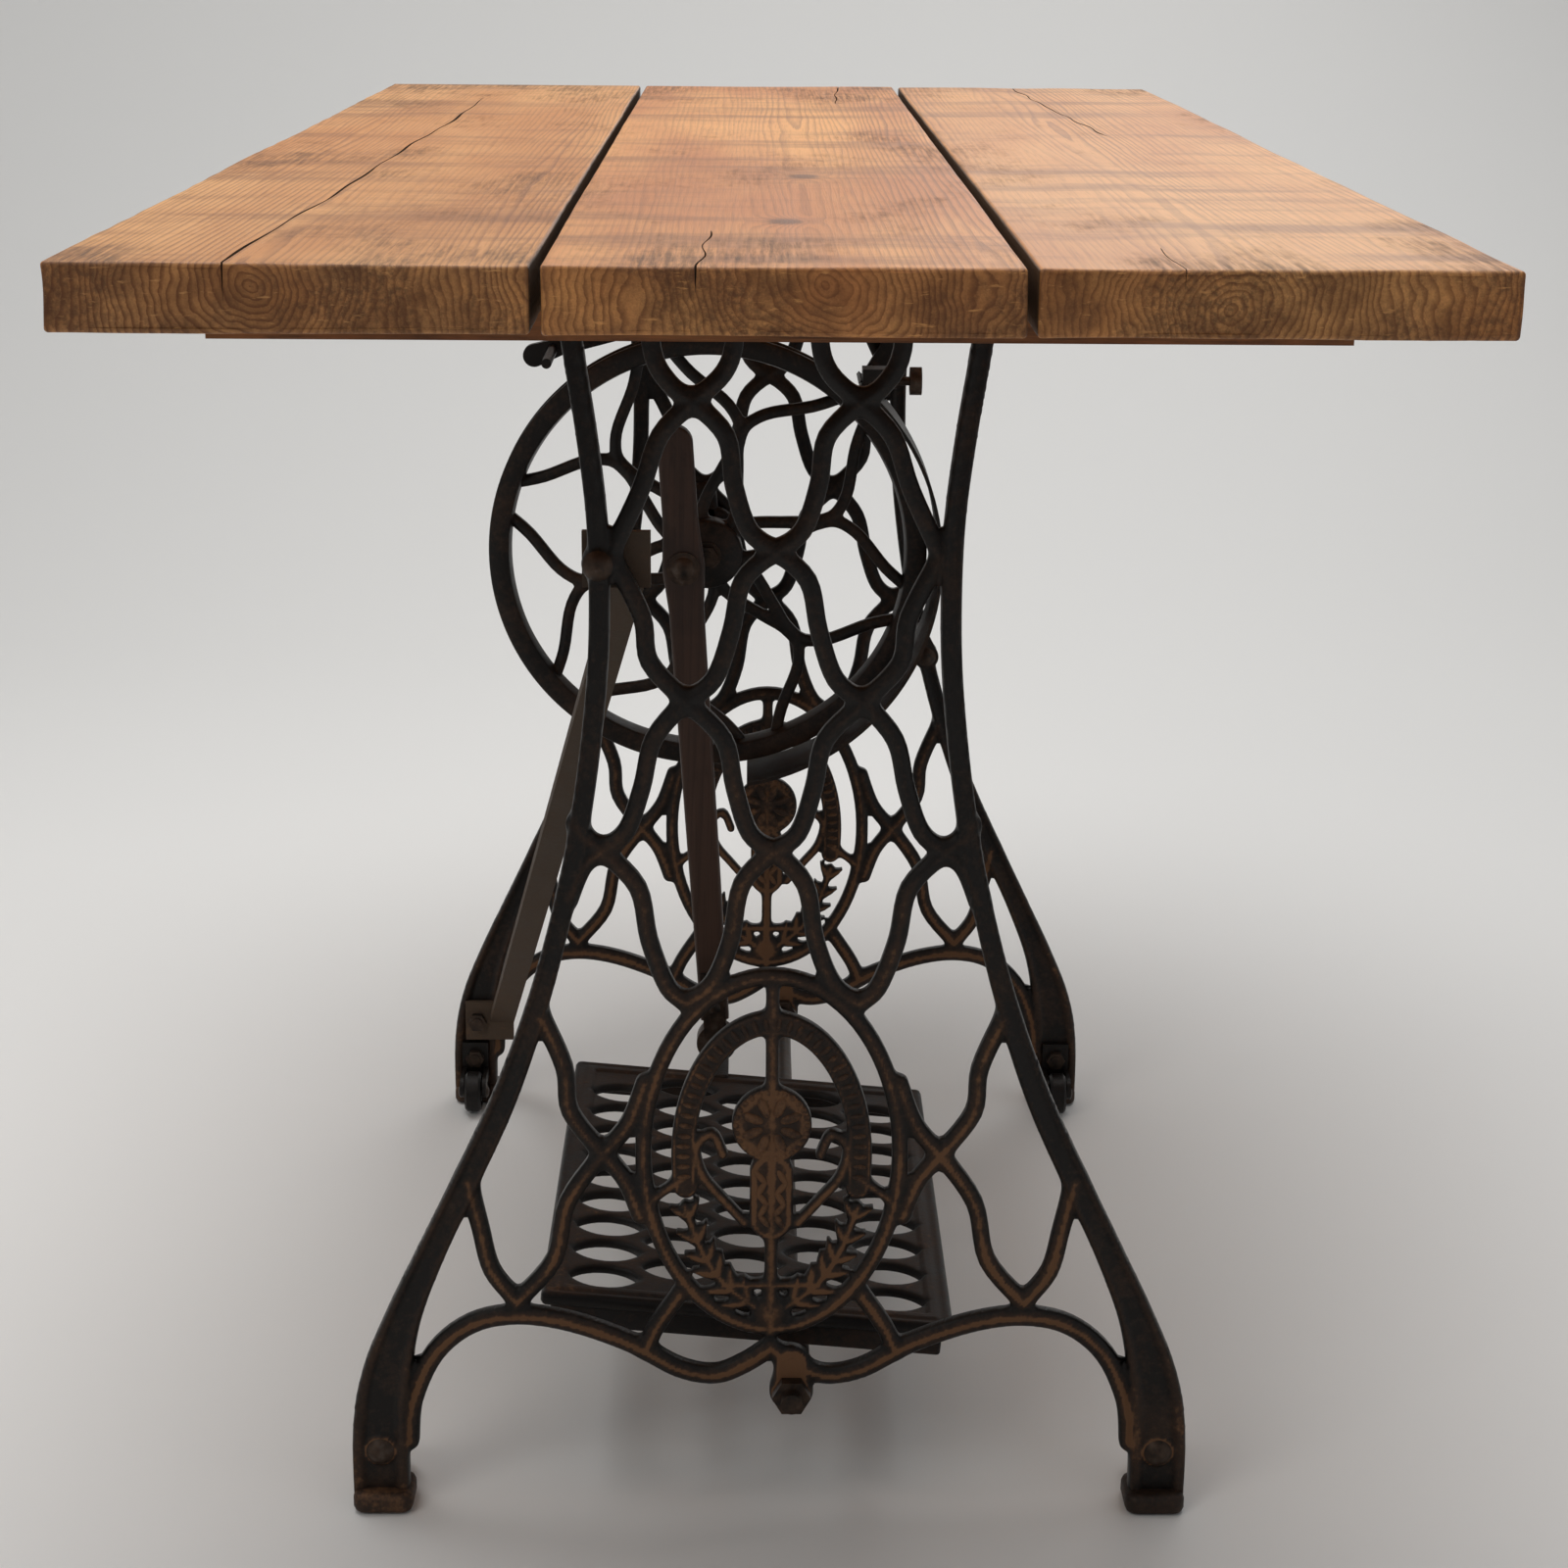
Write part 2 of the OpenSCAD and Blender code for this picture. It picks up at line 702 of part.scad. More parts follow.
// One lobe of the web: two arcs fork from the rim and cross the next lobe's arcs
module spoke_lobe() {
    rim_r = wheel_r - rim_t / 2;
    step = 360 / spoke_count;
    for (s = [-1, 1]) bar([
        rim_r * [cos(s * 4), sin(s * 4)],
        0.82 * wheel_r * [cos(s * step * 0.16), sin(s * step * 0.16)],
        0.68 * wheel_r * [cos(s * step * 0.38), sin(s * step * 0.38)],
        inner_ring * wheel_r * [cos(s * step / 2), sin(s * step / 2)],
        0.4 * wheel_r * [cos(s * step * 0.42), sin(s * step * 0.42)],
        0.24 * wheel_r * [cos(s * step * 0.2), sin(s * step * 0.2)],
        [hub_r - 4, 0]
    ], spoke_w, 3);
}

module flywheel() {
    color(iron_colour) translate([wheel_x, 0, wheel_z]) difference() {
        union() {
            translate([0, wheel_y, 0]) rotate([90, 0, 0]) rotate_extrude($fn = 128) rim_section();
            upright(spoke_d, wheel_y) offset(r = -3, $fn = 24) offset(r = 3, $fn = 24) {
                circle(r = hub_r);
                for (i = [0 : spoke_count - 1]) rotate(45 + i * 360 / spoke_count) spoke_lobe();
            }
            along_y(hub_r, hub_y0, wheel_y + spoke_d / 2);
            along_y(16, wheel_y, hub_y1);
        }
        along_y(stud_r + run_fit, hub_y0 - 10, hub_y1 + 10);
        translate([pin_c.x - wheel_x, hub_y0 - 1, pin_c.y - wheel_z]) rotate([-90, 0, 0])
            cylinder(r = pin_r - 1 + seat_fit, h = 11);
    }
}

stud_nut_h = 7;
washer_t = 1.5;
boss_face = frame_y + boss_shift - boss_d / 2;
boss_back = boss_face + boss_d;

module wheel_stud() {
    color(steel_colour) {
        along_y(stud_thread_r, boss_face, boss_back + stud_nut_h + 3, wheel_x, wheel_z);
        along_y(collar_r, hub_y1 + face_gap, boss_face, wheel_x, wheel_z);
        along_y(stud_r, hub_y0 - face_gap, hub_y1 + face_gap, wheel_x, wheel_z);
        along_y(4, hub_y0 - face_gap - washer_t - 6, hub_y0 - face_gap, wheel_x, wheel_z);
    }
}

module stud_nut_outer() {
    color(steel_colour) translate([wheel_x, boss_back, wheel_z]) rotate([-90, 0, 0]) difference() {
        hex(11, stud_nut_h);
        translate([0, 0, -1]) cylinder(r = stud_thread_r + seat_fit, h = stud_nut_h + 2);
    }
}

module crank_pin() {
    color(steel_colour) {
        along_y(pin_r - 1, hub_y0, hub_y0 + 9.5, pin_c.x, pin_c.y);
        along_y(pin_r, rod_y + rod_t / 2 + strap_t + face_gap, hub_y0, pin_c.x, pin_c.y);
    }
}

module wheel_washer() {
    y1 = hub_y0 - face_gap;
    color(steel_colour) difference() {
        along_y(9.5, y1 - washer_t, y1, wheel_x, wheel_z);
        along_y(4 + seat_fit, y1 - 10, y1 + 1, wheel_x, wheel_z);
    }
}

module wheel_nut() {
    y1 = hub_y0 - face_gap - washer_t;
    color(steel_colour) translate([wheel_x, y1 - 5, wheel_z]) rotate([-90, 0, 0]) difference() {
        hex(7.5, 5);
        translate([0, 0, -1]) cylinder(r = 4 + seat_fit, h = 7);
    }
}

// --- dress guard ---------------------------------------------------------

guard_r = wheel_r + guard_gap;
guard_y1 = wheel_y + rim_w / 2 + 5;
guard_screw_r = 3;
arm_t = 5;
arm_w = 16;
thumb_r = 3;
// How far a rivet's inner head stands off the curved sheet
rivet_gap = 0.15;

// Where the two arms are screwed to the front leg, and the guard angles they reach
arm_ends = [[-leg_x_at(590 * kz), 590 * kz], [-leg_x_at(352 * kz), 352 * kz]];
arm_angles = [44, -26];

function guard_point(a, r) = [wheel_x + r * cos(a), wheel_z + r * sin(a)];

module dress_guard() {
    thumb_c = guard_point(guard_top - 3, guard_r + guard_t + 8);
    color(iron_colour) difference() {
        union() {
            translate([wheel_x, guard_y1, wheel_z]) rotate([90, 0, 0]) rotate([0, 0, -guard_low])
                rotate_extrude(angle = guard_low + guard_top, $fn = 128)
                    translate([guard_r, 0]) square([guard_t, guard_w]);
            translate([thumb_c.x - 11, guard_y1 - guard_w + 4, thumb_c.y - 9]) cube([19, 18, 18]);
        }
        along_x(thumb_r + run_fit, thumb_c.x - 40, thumb_c.x + 40, guard_y1 - guard_w + 13, thumb_c.y);
        for (k = [0, 1]) guard_rivet_hole(k);
    }
}

rivet_y = guard_y1 - 9;

// Places a piece whose +Z points out from the wheel, at guard angle a
module at_guard(a, r, y) {
    p = guard_point(a, r);
    translate([p.x, y, p.y]) rotate([0, 90 - a, 0]) children();
}

module guard_rivet_hole(k) {
    at_guard(arm_angles[k], guard_r - 4, rivet_y) cylinder(r = guard_screw_r + seat_fit, h = 30);
}

module guard_arms() {
    color(iron_colour) difference() {
        union() for (k = [0, 1]) {
            foot = arm_ends[k];
            pad_c = guard_point(arm_angles[k], guard_r + guard_t + arm_t / 2);
            at_guard(arm_angles[k], guard_r + guard_t, rivet_y) translate([-arm_w / 2, -8, 0])
                cube([arm_w, leg_face - rivet_y + 8, arm_t]);
            translate([0, leg_face - arm_t / 2, 0]) rotate([90, 0, 0]) linear_extrude(arm_t, center = true)
                hull() for (p = [foot, pad_c]) translate(p) circle(r = arm_w / 2 + 1, $fn = 32);
        }
        for (k = [0, 1]) {
            along_y(guard_screw_r + seat_fit, leg_face - 30, leg_face + 5, arm_ends[k].x, arm_ends[k].y);
            guard_rivet_hole(k);
        }
    }
}

module guard_screws() {
    color(steel_colour) for (k = [0, 1]) {
        along_y(guard_screw_r, leg_face - arm_t, leg_face + leg_d - 1, arm_ends[k].x, arm_ends[k].y);
        translate([arm_ends[k].x, leg_face - arm_t, arm_ends[k].y]) rotate([90, 0, 0]) dome(7, 3);
        at_guard(arm_angles[k], guard_r - rivet_gap, rivet_y)
            cylinder(r = guard_screw_r, h = rivet_gap + guard_t + arm_t);
        at_guard(arm_angles[k], guard_r + guard_t + arm_t, rivet_y) dome(5.5, 2.5);
        at_guard(arm_angles[k], guard_r - rivet_gap, rivet_y) mirror([0, 0, 1]) dome(5.5, 2);
    }
}

module thumb_screw() {
    thumb_c = guard_point(guard_top - 3, guard_r + guard_t + 8);
    x0 = thumb_c.x + 8 + face_gap;
    color(steel_colour) {
        along_x(thumb_r, thumb_c.x - 6, x0 + 14, guard_y1 - guard_w + 13, thumb_c.y);
        along_x(9.5, x0 + 13, x0 + 21, guard_y1 - guard_w + 13, thumb_c.y);
        along_x(5.5, x0, x0 + 4, guard_y1 - guard_w + 13, thumb_c.y);
    }
}

// --- belt shifter --------------------------------------------------------

shifter_z = 596 * kz;
shifter_x = leg_x_at(shifter_z);
shifter_l = 76;
shifter_t = 7;
shifter_angle = 199;
shifter_screw_r = 4;
finger_at = 62;

module belt_shifter() {
    y1 = leg_face - face_gap;
    tip = shifter_l * [cos(shifter_angle), sin(shifter_angle)];
    color(iron_colour) difference() {
        union() {
            translate([shifter_x, y1, shifter_z]) rotate([90, 0, 0]) linear_extrude(shifter_t) {
                hull() {
                    circle(r = 10, $fn = 32);
                    translate(tip * 0.75) circle(r = 6, $fn = 32);
                }
                hull() {
                    translate(tip * 0.75) circle(r = 6, $fn = 32);
                    translate(tip) circle(r = 8, $fn = 32);
                }
            }
            along_y(3.5, wheel_y - 8, y1 - 1,
                shifter_x + finger_at * cos(shifter_angle), shifter_z + finger_at * sin(shifter_angle));
        }
        along_y(shifter_screw_r + run_fit, y1 - 20, y1 + 5, shifter_x, shifter_z);
    }
}

module shifter_screw() {
    y0 = leg_face - 2 * face_gap - shifter_t;
    color(steel_colour) {
        along_y(shifter_screw_r, y0, leg_face + leg_d - 1, shifter_x, shifter_z);
        translate([shifter_x, y0, shifter_z]) rotate([90, 0, 0]) dome(8, 3.5);
    }
}

// --- casters -------------------------------------------------------------

caster_z = caster_r + caster_lift;
bracket_t = 4;
cheek_t = 3;
axle_r = 3;
caster_y = leg_face - bracket_t - caster_r - 4;
cheek_gap = caster_w + 2 * 0.8;

module one_bracket(sx, sy) {
    outer = cheek_gap + 2 * cheek_t;
    x0 = sx * caster_x - outer / 2;
    translate([0, sy * caster_y, 0]) difference() {
        union() {
            translate([x0, sy > 0 ? leg_face - bracket_t - caster_y : -(leg_face - caster_y), 20])
                cube([outer, bracket_t, 28]);
            for (cx = [x0, x0 + outer - cheek_t]) translate([cx, 0, 0]) {
                y_back = leg_face - bracket_t - caster_y;
                translate([0, sy > 0 ? 0 : -y_back - 1, 20]) cube([cheek_t, y_back + 1, 8]);
                along_x(8, 0, cheek_t, 0, caster_z + 4);
            }
        }
        along_x(axle_r + seat_fit, x0 - 5, x0 + outer + 5, 0, caster_z);
        along_y(bolt_r + seat_fit, -60, 60, sx * caster_x, bolt_z);
    }
}

module caster_brackets() {
    color(iron_colour) for (sx = [-1, 1], sy = [-1, 1]) one_bracket(sx, sy);
}

module caster_bolts() {
    color(steel_colour) for (sx = [-1, 1], sy = [-1, 1])
        leg_bolt(sx * caster_x, bolt_z, sy, leg_d + bracket_t);
}

module caster_axles() {
    half = cheek_gap / 2 + cheek_t;
    color(steel_colour) for (sx = [-1, 1], sy = [-1, 1]) translate([sx * caster_x, sy * caster_y, caster_z]) {
        along_x(axle_r, -half, half);
        for (m = [0, 1]) mirror([m, 0, 0]) translate([half, 0, 0]) rotate([0, 90, 0]) dome(5, 2);
    }
}

module caster_wheel(sx, sy) {
    color(rust_colour) translate([sx * caster_x, sy * caster_y, caster_z]) rotate([0, 90, 0])
        translate([0, 0, -caster_w / 2]) rotate_extrude() difference() {
            translate([axle_r + run_fit, 0]) square([caster_r - axle_r - run_fit, caster_w]);
            for (m = [0, 1]) translate([caster_r, m * caster_w]) rotate(45) square(2.4, center = true);
            for (m = [0, 1]) translate([9.5, m * caster_w]) square([4, 2.4], center = true);
        }
}

module caster_wheel_near_back() { caster_wheel(-1, -1); }
module caster_wheel_near_front() { caster_wheel(1, -1); }
module caster_wheel_far_back() { caster_wheel(-1, 1); }
module caster_wheel_far_front() { caster_wheel(1, 1); }

// --- output --------------------------------------------------------------

plank_left();
plank_middle();
plank_right();
batten_near();
batten_far();
batten_screws();
end_frame_near();
end_frame_far();
top_screws_near();
top_screws_far();
rear_brace();
brace_bolts();
treadle_shaft();
shaft_nuts();
treadle_plate();
ball_stud();
pitman_rod();
pitman_bearing();
bearing_screw();
pitman_socket();
socket_screws();
wheel_stud();
stud_nut_outer();
flywheel();
crank_pin();
wheel_washer();
wheel_nut();
dress_guard();
guard_arms();
guard_screws();
thumb_screw();
belt_shifter();
shifter_screw();
caster_brackets();
caster_bolts();
caster_axles();
caster_wheel_near_back();
caster_wheel_near_front();
caster_wheel_far_back();
caster_wheel_far_front();
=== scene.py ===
import json
import bpy
import bmesh
import numpy as np
from math import cos, pi, radians, sin
from mathutils import Matrix, Vector


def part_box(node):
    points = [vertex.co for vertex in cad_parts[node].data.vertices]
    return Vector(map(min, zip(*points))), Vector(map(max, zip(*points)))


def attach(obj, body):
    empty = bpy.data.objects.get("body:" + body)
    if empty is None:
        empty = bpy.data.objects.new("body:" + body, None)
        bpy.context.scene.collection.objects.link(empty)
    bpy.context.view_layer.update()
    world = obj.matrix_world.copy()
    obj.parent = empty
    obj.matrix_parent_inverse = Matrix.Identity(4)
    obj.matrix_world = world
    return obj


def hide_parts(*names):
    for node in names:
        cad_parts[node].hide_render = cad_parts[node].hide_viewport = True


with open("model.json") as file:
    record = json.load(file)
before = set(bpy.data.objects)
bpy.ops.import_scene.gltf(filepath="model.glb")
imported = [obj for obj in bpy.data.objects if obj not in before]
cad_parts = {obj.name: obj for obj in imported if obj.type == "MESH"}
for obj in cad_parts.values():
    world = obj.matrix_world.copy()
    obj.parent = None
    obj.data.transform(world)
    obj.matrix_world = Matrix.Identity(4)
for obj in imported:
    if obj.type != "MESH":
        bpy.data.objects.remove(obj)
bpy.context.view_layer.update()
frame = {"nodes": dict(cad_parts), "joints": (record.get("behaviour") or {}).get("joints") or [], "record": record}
nodes = frame["nodes"]


def addNode(tree, kind, **values):
    node = tree.nodes.new(kind)
    for key, value in values.items():
        setattr(node, key, value)
    return node


def setInputs(node, **values):
    for key, value in values.items():
        node.inputs[key.replace("_", " ")].default_value = value
    return node


def mathNode(tree, operation, *values, clamp=False):
    node = addNode(tree, "ShaderNodeMath", operation=operation, use_clamp=clamp)
    for slot, value in enumerate(values):
        if isinstance(value, (int, float)):
            node.inputs[slot].default_value = value
        else:
            tree.links.new(value, node.inputs[slot])
    return node.outputs[0]


def rampNode(tree, source, stops, smooth=False):
    node = addNode(tree, "ShaderNodeValToRGB")
    if smooth:
        node.color_ramp.interpolation = "EASE"
    marks = node.color_ramp.elements
    while len(marks) < len(stops):
        marks.new(0.5)
    for mark, (place, colour) in zip(marks, stops):
        mark.position = place
        mark.color = (*colour, 1) if len(colour) == 3 else colour
    tree.links.new(source, node.inputs[0])
    return node.outputs[0]


# A ramp between grey levels, each stop a place and a level
def greyRamp(tree, source, *stops, smooth=False):
    return rampNode(tree, source, [(place, (level, level, level)) for place, level in stops], smooth)


def mixColours(tree, factor, a, b):
    node = addNode(tree, "ShaderNodeMix", data_type="RGBA")
    for slot, value in ((0, factor), (6, a), (7, b)):
        if isinstance(value, (int, float)):
            node.inputs[slot].default_value = value
        elif isinstance(value, tuple):
            node.inputs[slot].default_value = (*value, 1)
        else:
            tree.links.new(value, node.inputs[slot])
    return node.outputs[2]


def noiseNode(tree, vector, scale, detail=4.0, roughness=0.55):
    node = addNode(tree, "ShaderNodeTexNoise")
    setInputs(node, Scale=scale, Detail=detail, Roughness=roughness)
    tree.links.new(vector, node.inputs["Vector"])
    return node.outputs[0]


def mapped(tree, vector, scale=(1, 1, 1), place=(0, 0, 0)):
    node = addNode(tree, "ShaderNodeMapping")
    node.inputs["Scale"].default_value = scale
    node.inputs["Location"].default_value = place
    tree.links.new(vector, node.inputs["Vector"])
    return node.outputs[0]


def newMaterial(name):
    material = bpy.data.materials.new(name)
    material.use_nodes = True
    tree = material.node_tree
    shader = tree.nodes["Principled BSDF"]
    place = addNode(tree, "ShaderNodeTexCoord").outputs["Object"]
    return material, tree, shader, place


def setBump(tree, shader, height, strength, distance):
    bump = addNode(tree, "ShaderNodeBump")
    setInputs(bump, Strength=strength, Distance=distance)
    tree.links.new(height, bump.inputs["Height"])
    tree.links.new(bump.outputs[0], shader.inputs["Normal"])


ironLook = {
    "black": (0.0064, 0.0045, 0.0035),
    "brown": (0.040, 0.021, 0.012),
    "rust": (0.145, 0.071, 0.033),
    "dust": (0.115, 0.080, 0.054),
}


def makeIron(name, rust, sheen=0.42, ridges=False, veil=0.0):
    material, tree, shader, place = newMaterial(name)
    blotch = noiseNode(tree, place, 22, 6, 0.62)
    speck = noiseNode(tree, place, 260, 5, 0.65)
    grit = noiseNode(tree, place, 900, 3, 0.6)
    parts = addNode(tree, "ShaderNodeSeparateXYZ")
    tree.links.new(place, parts.inputs[0])
    # more rust near the floor
    low = mathNode(tree, "MULTIPLY_ADD", parts.outputs["Z"], -1.9, 1.12, clamp=True)
    amount = mathNode(tree, "MULTIPLY", low, rust)
    # raised points turn lighter brown, partly worn rust and partly painted highlight, and low points go darker,
    # painted shade in the hollows
    if ridges:
        ridge = addNode(tree, "ShaderNodeAttribute", attribute_name="ridge").outputs["Fac"]
        lift = mathNode(tree, "MULTIPLY", mathNode(tree, "SUBTRACT", ridge, 0.46), 0.60)
        amount = mathNode(tree, "ADD", amount, mathNode(tree, "MULTIPLY", lift, low))
    field = mathNode(tree, "ADD", mathNode(tree, "MULTIPLY", blotch, 0.75),
                     mathNode(tree, "MULTIPLY", speck, 0.45))
    field = mathNode(tree, "ADD", field, amount)
    colour = rampNode(tree, field, [
        (0.60, ironLook["black"]), (0.86, ironLook["brown"]), (1.0, ironLook["rust"])])
    dusty = mathNode(tree, "MULTIPLY", mathNode(tree, "SUBTRACT", speck, 0.52), 1.6 * rust, clamp=True)
    colour = mixColours(tree, mathNode(tree, "ADD", dusty, veil), colour, ironLook["dust"])
    tree.links.new(colour, shader.inputs["Base Color"])
    rough = mathNode(tree, "MULTIPLY_ADD", field, 0.55, sheen - 0.28, clamp=True)
    tree.links.new(rough, shader.inputs["Roughness"])
    shader.inputs["Metallic"].default_value = 0.15
    shader.inputs["Specular IOR Level"].default_value = 0.32
    height = mathNode(tree, "ADD", mathNode(tree, "MULTIPLY", speck, 0.6),
                      mathNode(tree, "MULTIPLY", grit, 0.4))
    setBump(tree, shader, height, 0.35, 0.0012)
    return material


def makeSteel(name):
    material, tree, shader, place = newMaterial(name)
    blotch = noiseNode(tree, place, 120, 5, 0.6)
    colour = rampNode(tree, blotch, [
        (0.35, (0.020, 0.016, 0.014)), (0.55, (0.060, 0.038, 0.026)), (0.75, (0.105, 0.085, 0.072))])
    tree.links.new(colour, shader.inputs["Base Color"])
    shader.inputs["Metallic"].default_value = 0.7
    rough = greyRamp(tree, blotch, (0.3, 0.35), (0.7, 0.62))
    tree.links.new(rough, shader.inputs["Roughness"])
    setBump(tree, shader, blotch, 0.25, 0.0006)
    return material


plankLook = {
    "pale": (0.78, 0.375, 0.122),
    "warm": (0.55, 0.220, 0.062),
    "late": (0.17, 0.054, 0.015),
    "stain": (0.048, 0.030, 0.019),
    "endDark": (0.090, 0.030, 0.009),
    "ringGap": 0.0034,
}


# Wood whose growth rings lie about the pith; heart holds the pith's two coordinates across the grain
def makeWood(name, heart, seed, look, dark=0.0, along="Y", knots=()):
    material, tree, shader, place = newMaterial(name)
    squash = {"X": (0.05, 1, 1), "Y": (1, 0.05, 1), "Z": (1, 1, 0.05)}[along]
    lengthways = {"X": 0, "Y": 1, "Z": 2}[along]
    pith = [heart[0], heart[1]]
    pith.insert(lengthways, 0.0)
    flat = [0.0 if i == lengthways else 1.0 for i in range(3)]
    slow = mapped(tree, place, scale=squash, place=(seed, seed, seed))
    wander = addNode(tree, "ShaderNodeTexNoise")
    setInputs(wander, Scale=11, Detail=2.5, Roughness=0.5)
    tree.links.new(slow, wander.inputs["Vector"])
    bent = addNode(tree, "ShaderNodeVectorMath", operation="MULTIPLY_ADD")
    tree.links.new(wander.outputs["Color"], bent.inputs[0])
    bent.inputs[1].default_value = (0.030, 0.030, 0.030)
    tree.links.new(place, bent.inputs[2])
    flatten = addNode(tree, "ShaderNodeVectorMath", operation="MULTIPLY_ADD")
    tree.links.new(bent.outputs[0], flatten.inputs[0])
    flatten.inputs[1].default_value = flat
    flatten.inputs[2].default_value = [-f * (p + 0.015) for f, p in zip(flat, pith)]
    radius = addNode(tree, "ShaderNodeVectorMath", operation="LENGTH")
    tree.links.new(flatten.outputs[0], radius.inputs[0])
    field = radius.outputs["Value"]
    knotMask = None
    for x, y in knots:
        near = addNode(tree, "ShaderNodeVectorMath", operation="DISTANCE")
        leaning = mapped(tree, place, scale=(1.25, 0.85, 0), place=(-1.25 * x, -0.85 * y, 0))
        tree.links.new(leaning, near.inputs[0])
        near.inputs[1].default_value = (0, 0, 0)
        gap = near.outputs["Value"]
        square = mathNode(tree, "MULTIPLY", gap, gap)
        push = mathNode(tree, "EXPONENT", mathNode(tree, "MULTIPLY", square, -3200.0))
        field = mathNode(tree, "ADD", field, mathNode(tree, "MULTIPLY", push, 0.008))
        core = greyRamp(tree, gap, (0.0, 1), (0.008, 0.9), (0.014, 0), smooth=True)
        knotMask = core if knotMask is None else mathNode(tree, "MAXIMUM", knotMask, core)
    count = mathNode(tree, "DIVIDE", field, look["ringGap"])
    uneven = noiseNode(tree, slow, 30, 2, 0.5)
    rough = noiseNode(tree, mapped(tree, place, scale=squash), 160, 3, 0.6)
    count = mathNode(tree, "ADD", count, mathNode(tree, "MULTIPLY", uneven, 6.0))
    ring = mathNode(tree, "FRACT", mathNode(tree, "ADD", count, mathNode(tree, "MULTIPLY", rough, 0.9)))
    fine = {"X": (0.02, 1, 1), "Y": (1, 0.02, 1), "Z": (1, 1, 0.02)}[along]
    fibre = noiseNode(tree, mapped(tree, place, scale=fine), 1300, 3, 0.6)
    long = mapped(tree, place, scale=[max(s, 0.28) for s in squash], place=(seed, seed, 0))
    cloud = noiseNode(tree, long, 7, 4, 0.6)
    tint = rampNode(tree, cloud, [(0.32, look["warm"]), (0.68, look["pale"])], True)
    lateness = greyRamp(tree, ring, (0.45, 0), (0.90, 1), (1.0, 0.15))
    boldness = greyRamp(tree, noiseNode(tree, slow, 9, 3, 0.6), (0.38, 0.12), (0.66, 0.70))
    colour = mixColours(tree, mathNode(tree, "MULTIPLY", lateness, boldness), tint, look["late"])
    # broad worn bands that cross the grain
    band = noiseNode(tree, mapped(tree, place, scale=(0.5, 2.4, 1), place=(seed, seed, 0)), 7, 5, 0.62)
    lateWood = greyRamp(tree, band, (0.46, 0), (0.68, 0.55), smooth=True)
    colour = mixColours(tree, lateWood, colour, look["late"])
    fibreMask = mathNode(tree, "MULTIPLY", mathNode(tree, "SUBTRACT", fibre, 0.5), 1.5, clamp=True)
    colour = mixColours(tree, fibreMask, colour, look["late"])
    if knotMask is not None:
        colour = mixColours(tree, mathNode(tree, "MULTIPLY", knotMask, 0.8), colour, look["endDark"])
    parts = addNode(tree, "ShaderNodeSeparateXYZ")
    tree.links.new(place, parts.inputs[0])
    # dark oil and water marks, most of all towards the two ends and the outer edges of the top
    sideways = mathNode(tree, "ABSOLUTE", parts.outputs["X"])
    endways = mathNode(tree, "ABSOLUTE", parts.outputs["Y"])
    reach = mathNode(tree, "MULTIPLY", mathNode(tree, "SUBTRACT", endways, 0.38), 0.42, clamp=True)
    aside = mathNode(tree, "MULTIPLY", mathNode(tree, "SUBTRACT", sideways, 0.24), 0.9, clamp=True)
    patch = noiseNode(tree, mapped(tree, place, scale=(1, 0.5, 1), place=(3 * seed, 0, 0)), 11, 7, 0.68)
    patch = mathNode(tree, "ADD", patch, mathNode(tree, "ADD", reach, aside))
    patch = mathNode(tree, "ADD", patch, dark)
    stain = greyRamp(tree, patch, (0.52, 0), (0.72, 1), smooth=True)
    streak = noiseNode(tree, mapped(tree, place, scale=[max(s, 0.05) for s in squash]), 330, 5, 0.7)
    stain = mathNode(tree, "MULTIPLY", stain, greyRamp(tree, streak, (0.40, 0.12), (0.60, 1)))
    colour = mixColours(tree, mathNode(tree, "MULTIPLY", stain, 0.72), colour, look["stain"])
    face = addNode(tree, "ShaderNodeSeparateXYZ")
    tree.links.new(addNode(tree, "ShaderNodeNewGeometry").outputs["True Normal"], face.inputs[0])
    sawn = greyRamp(tree, mathNode(tree, "ABSOLUTE", face.outputs[along]), (0.45, 0), (0.8, 1))
    # painted shade in the joints between planks, the side faces there darkened with the stain colour, and the sawn
    # ends hold more oil than the faces
    if along == "Y":
        inner = greyRamp(tree, sideways, (0.27, 1), (0.28, 0))
        facing = greyRamp(tree, mathNode(tree, "ABSOLUTE", face.outputs["X"]), (0.55, 0), (0.9, 1))
        joint = mathNode(tree, "MULTIPLY", mathNode(tree, "MULTIPLY", inner, facing), 0.9)
        colour = mixColours(tree, joint, colour, look["stain"])
    endNoise = greyRamp(tree, noiseNode(tree, place, 34, 7, 0.72), (0.36, 0.05), (0.66, 0.80))
    endColour = mixColours(tree, mathNode(tree, "MULTIPLY", lateness, 0.55), colour, look["late"])
    endColour = mixColours(tree, endNoise, endColour, look["endDark"])
    scuffs = noiseNode(tree, mapped(tree, place, scale=(0.35, 1, 1.8)), 240, 4, 0.6)
    endColour = mixColours(tree, greyRamp(tree, scuffs, (0.62, 0), (0.70, 0.55)), endColour, look["pale"])
    colour = mixColours(tree, sawn, colour, endColour)
    tree.links.new(colour, shader.inputs["Base Color"])
    tree.links.new(mathNode(tree, "MULTIPLY_ADD", stain, 0.2, 0.44), shader.inputs["Roughness"])
    shader.inputs["Specular IOR Level"].default_value = 0.34
    height = mathNode(tree, "ADD", mathNode(tree, "MULTIPLY", ring, 0.5),
                      mathNode(tree, "MULTIPLY", fibre, 0.5))
    setBump(tree, shader, height, 0.30, 0.0010)
    return material


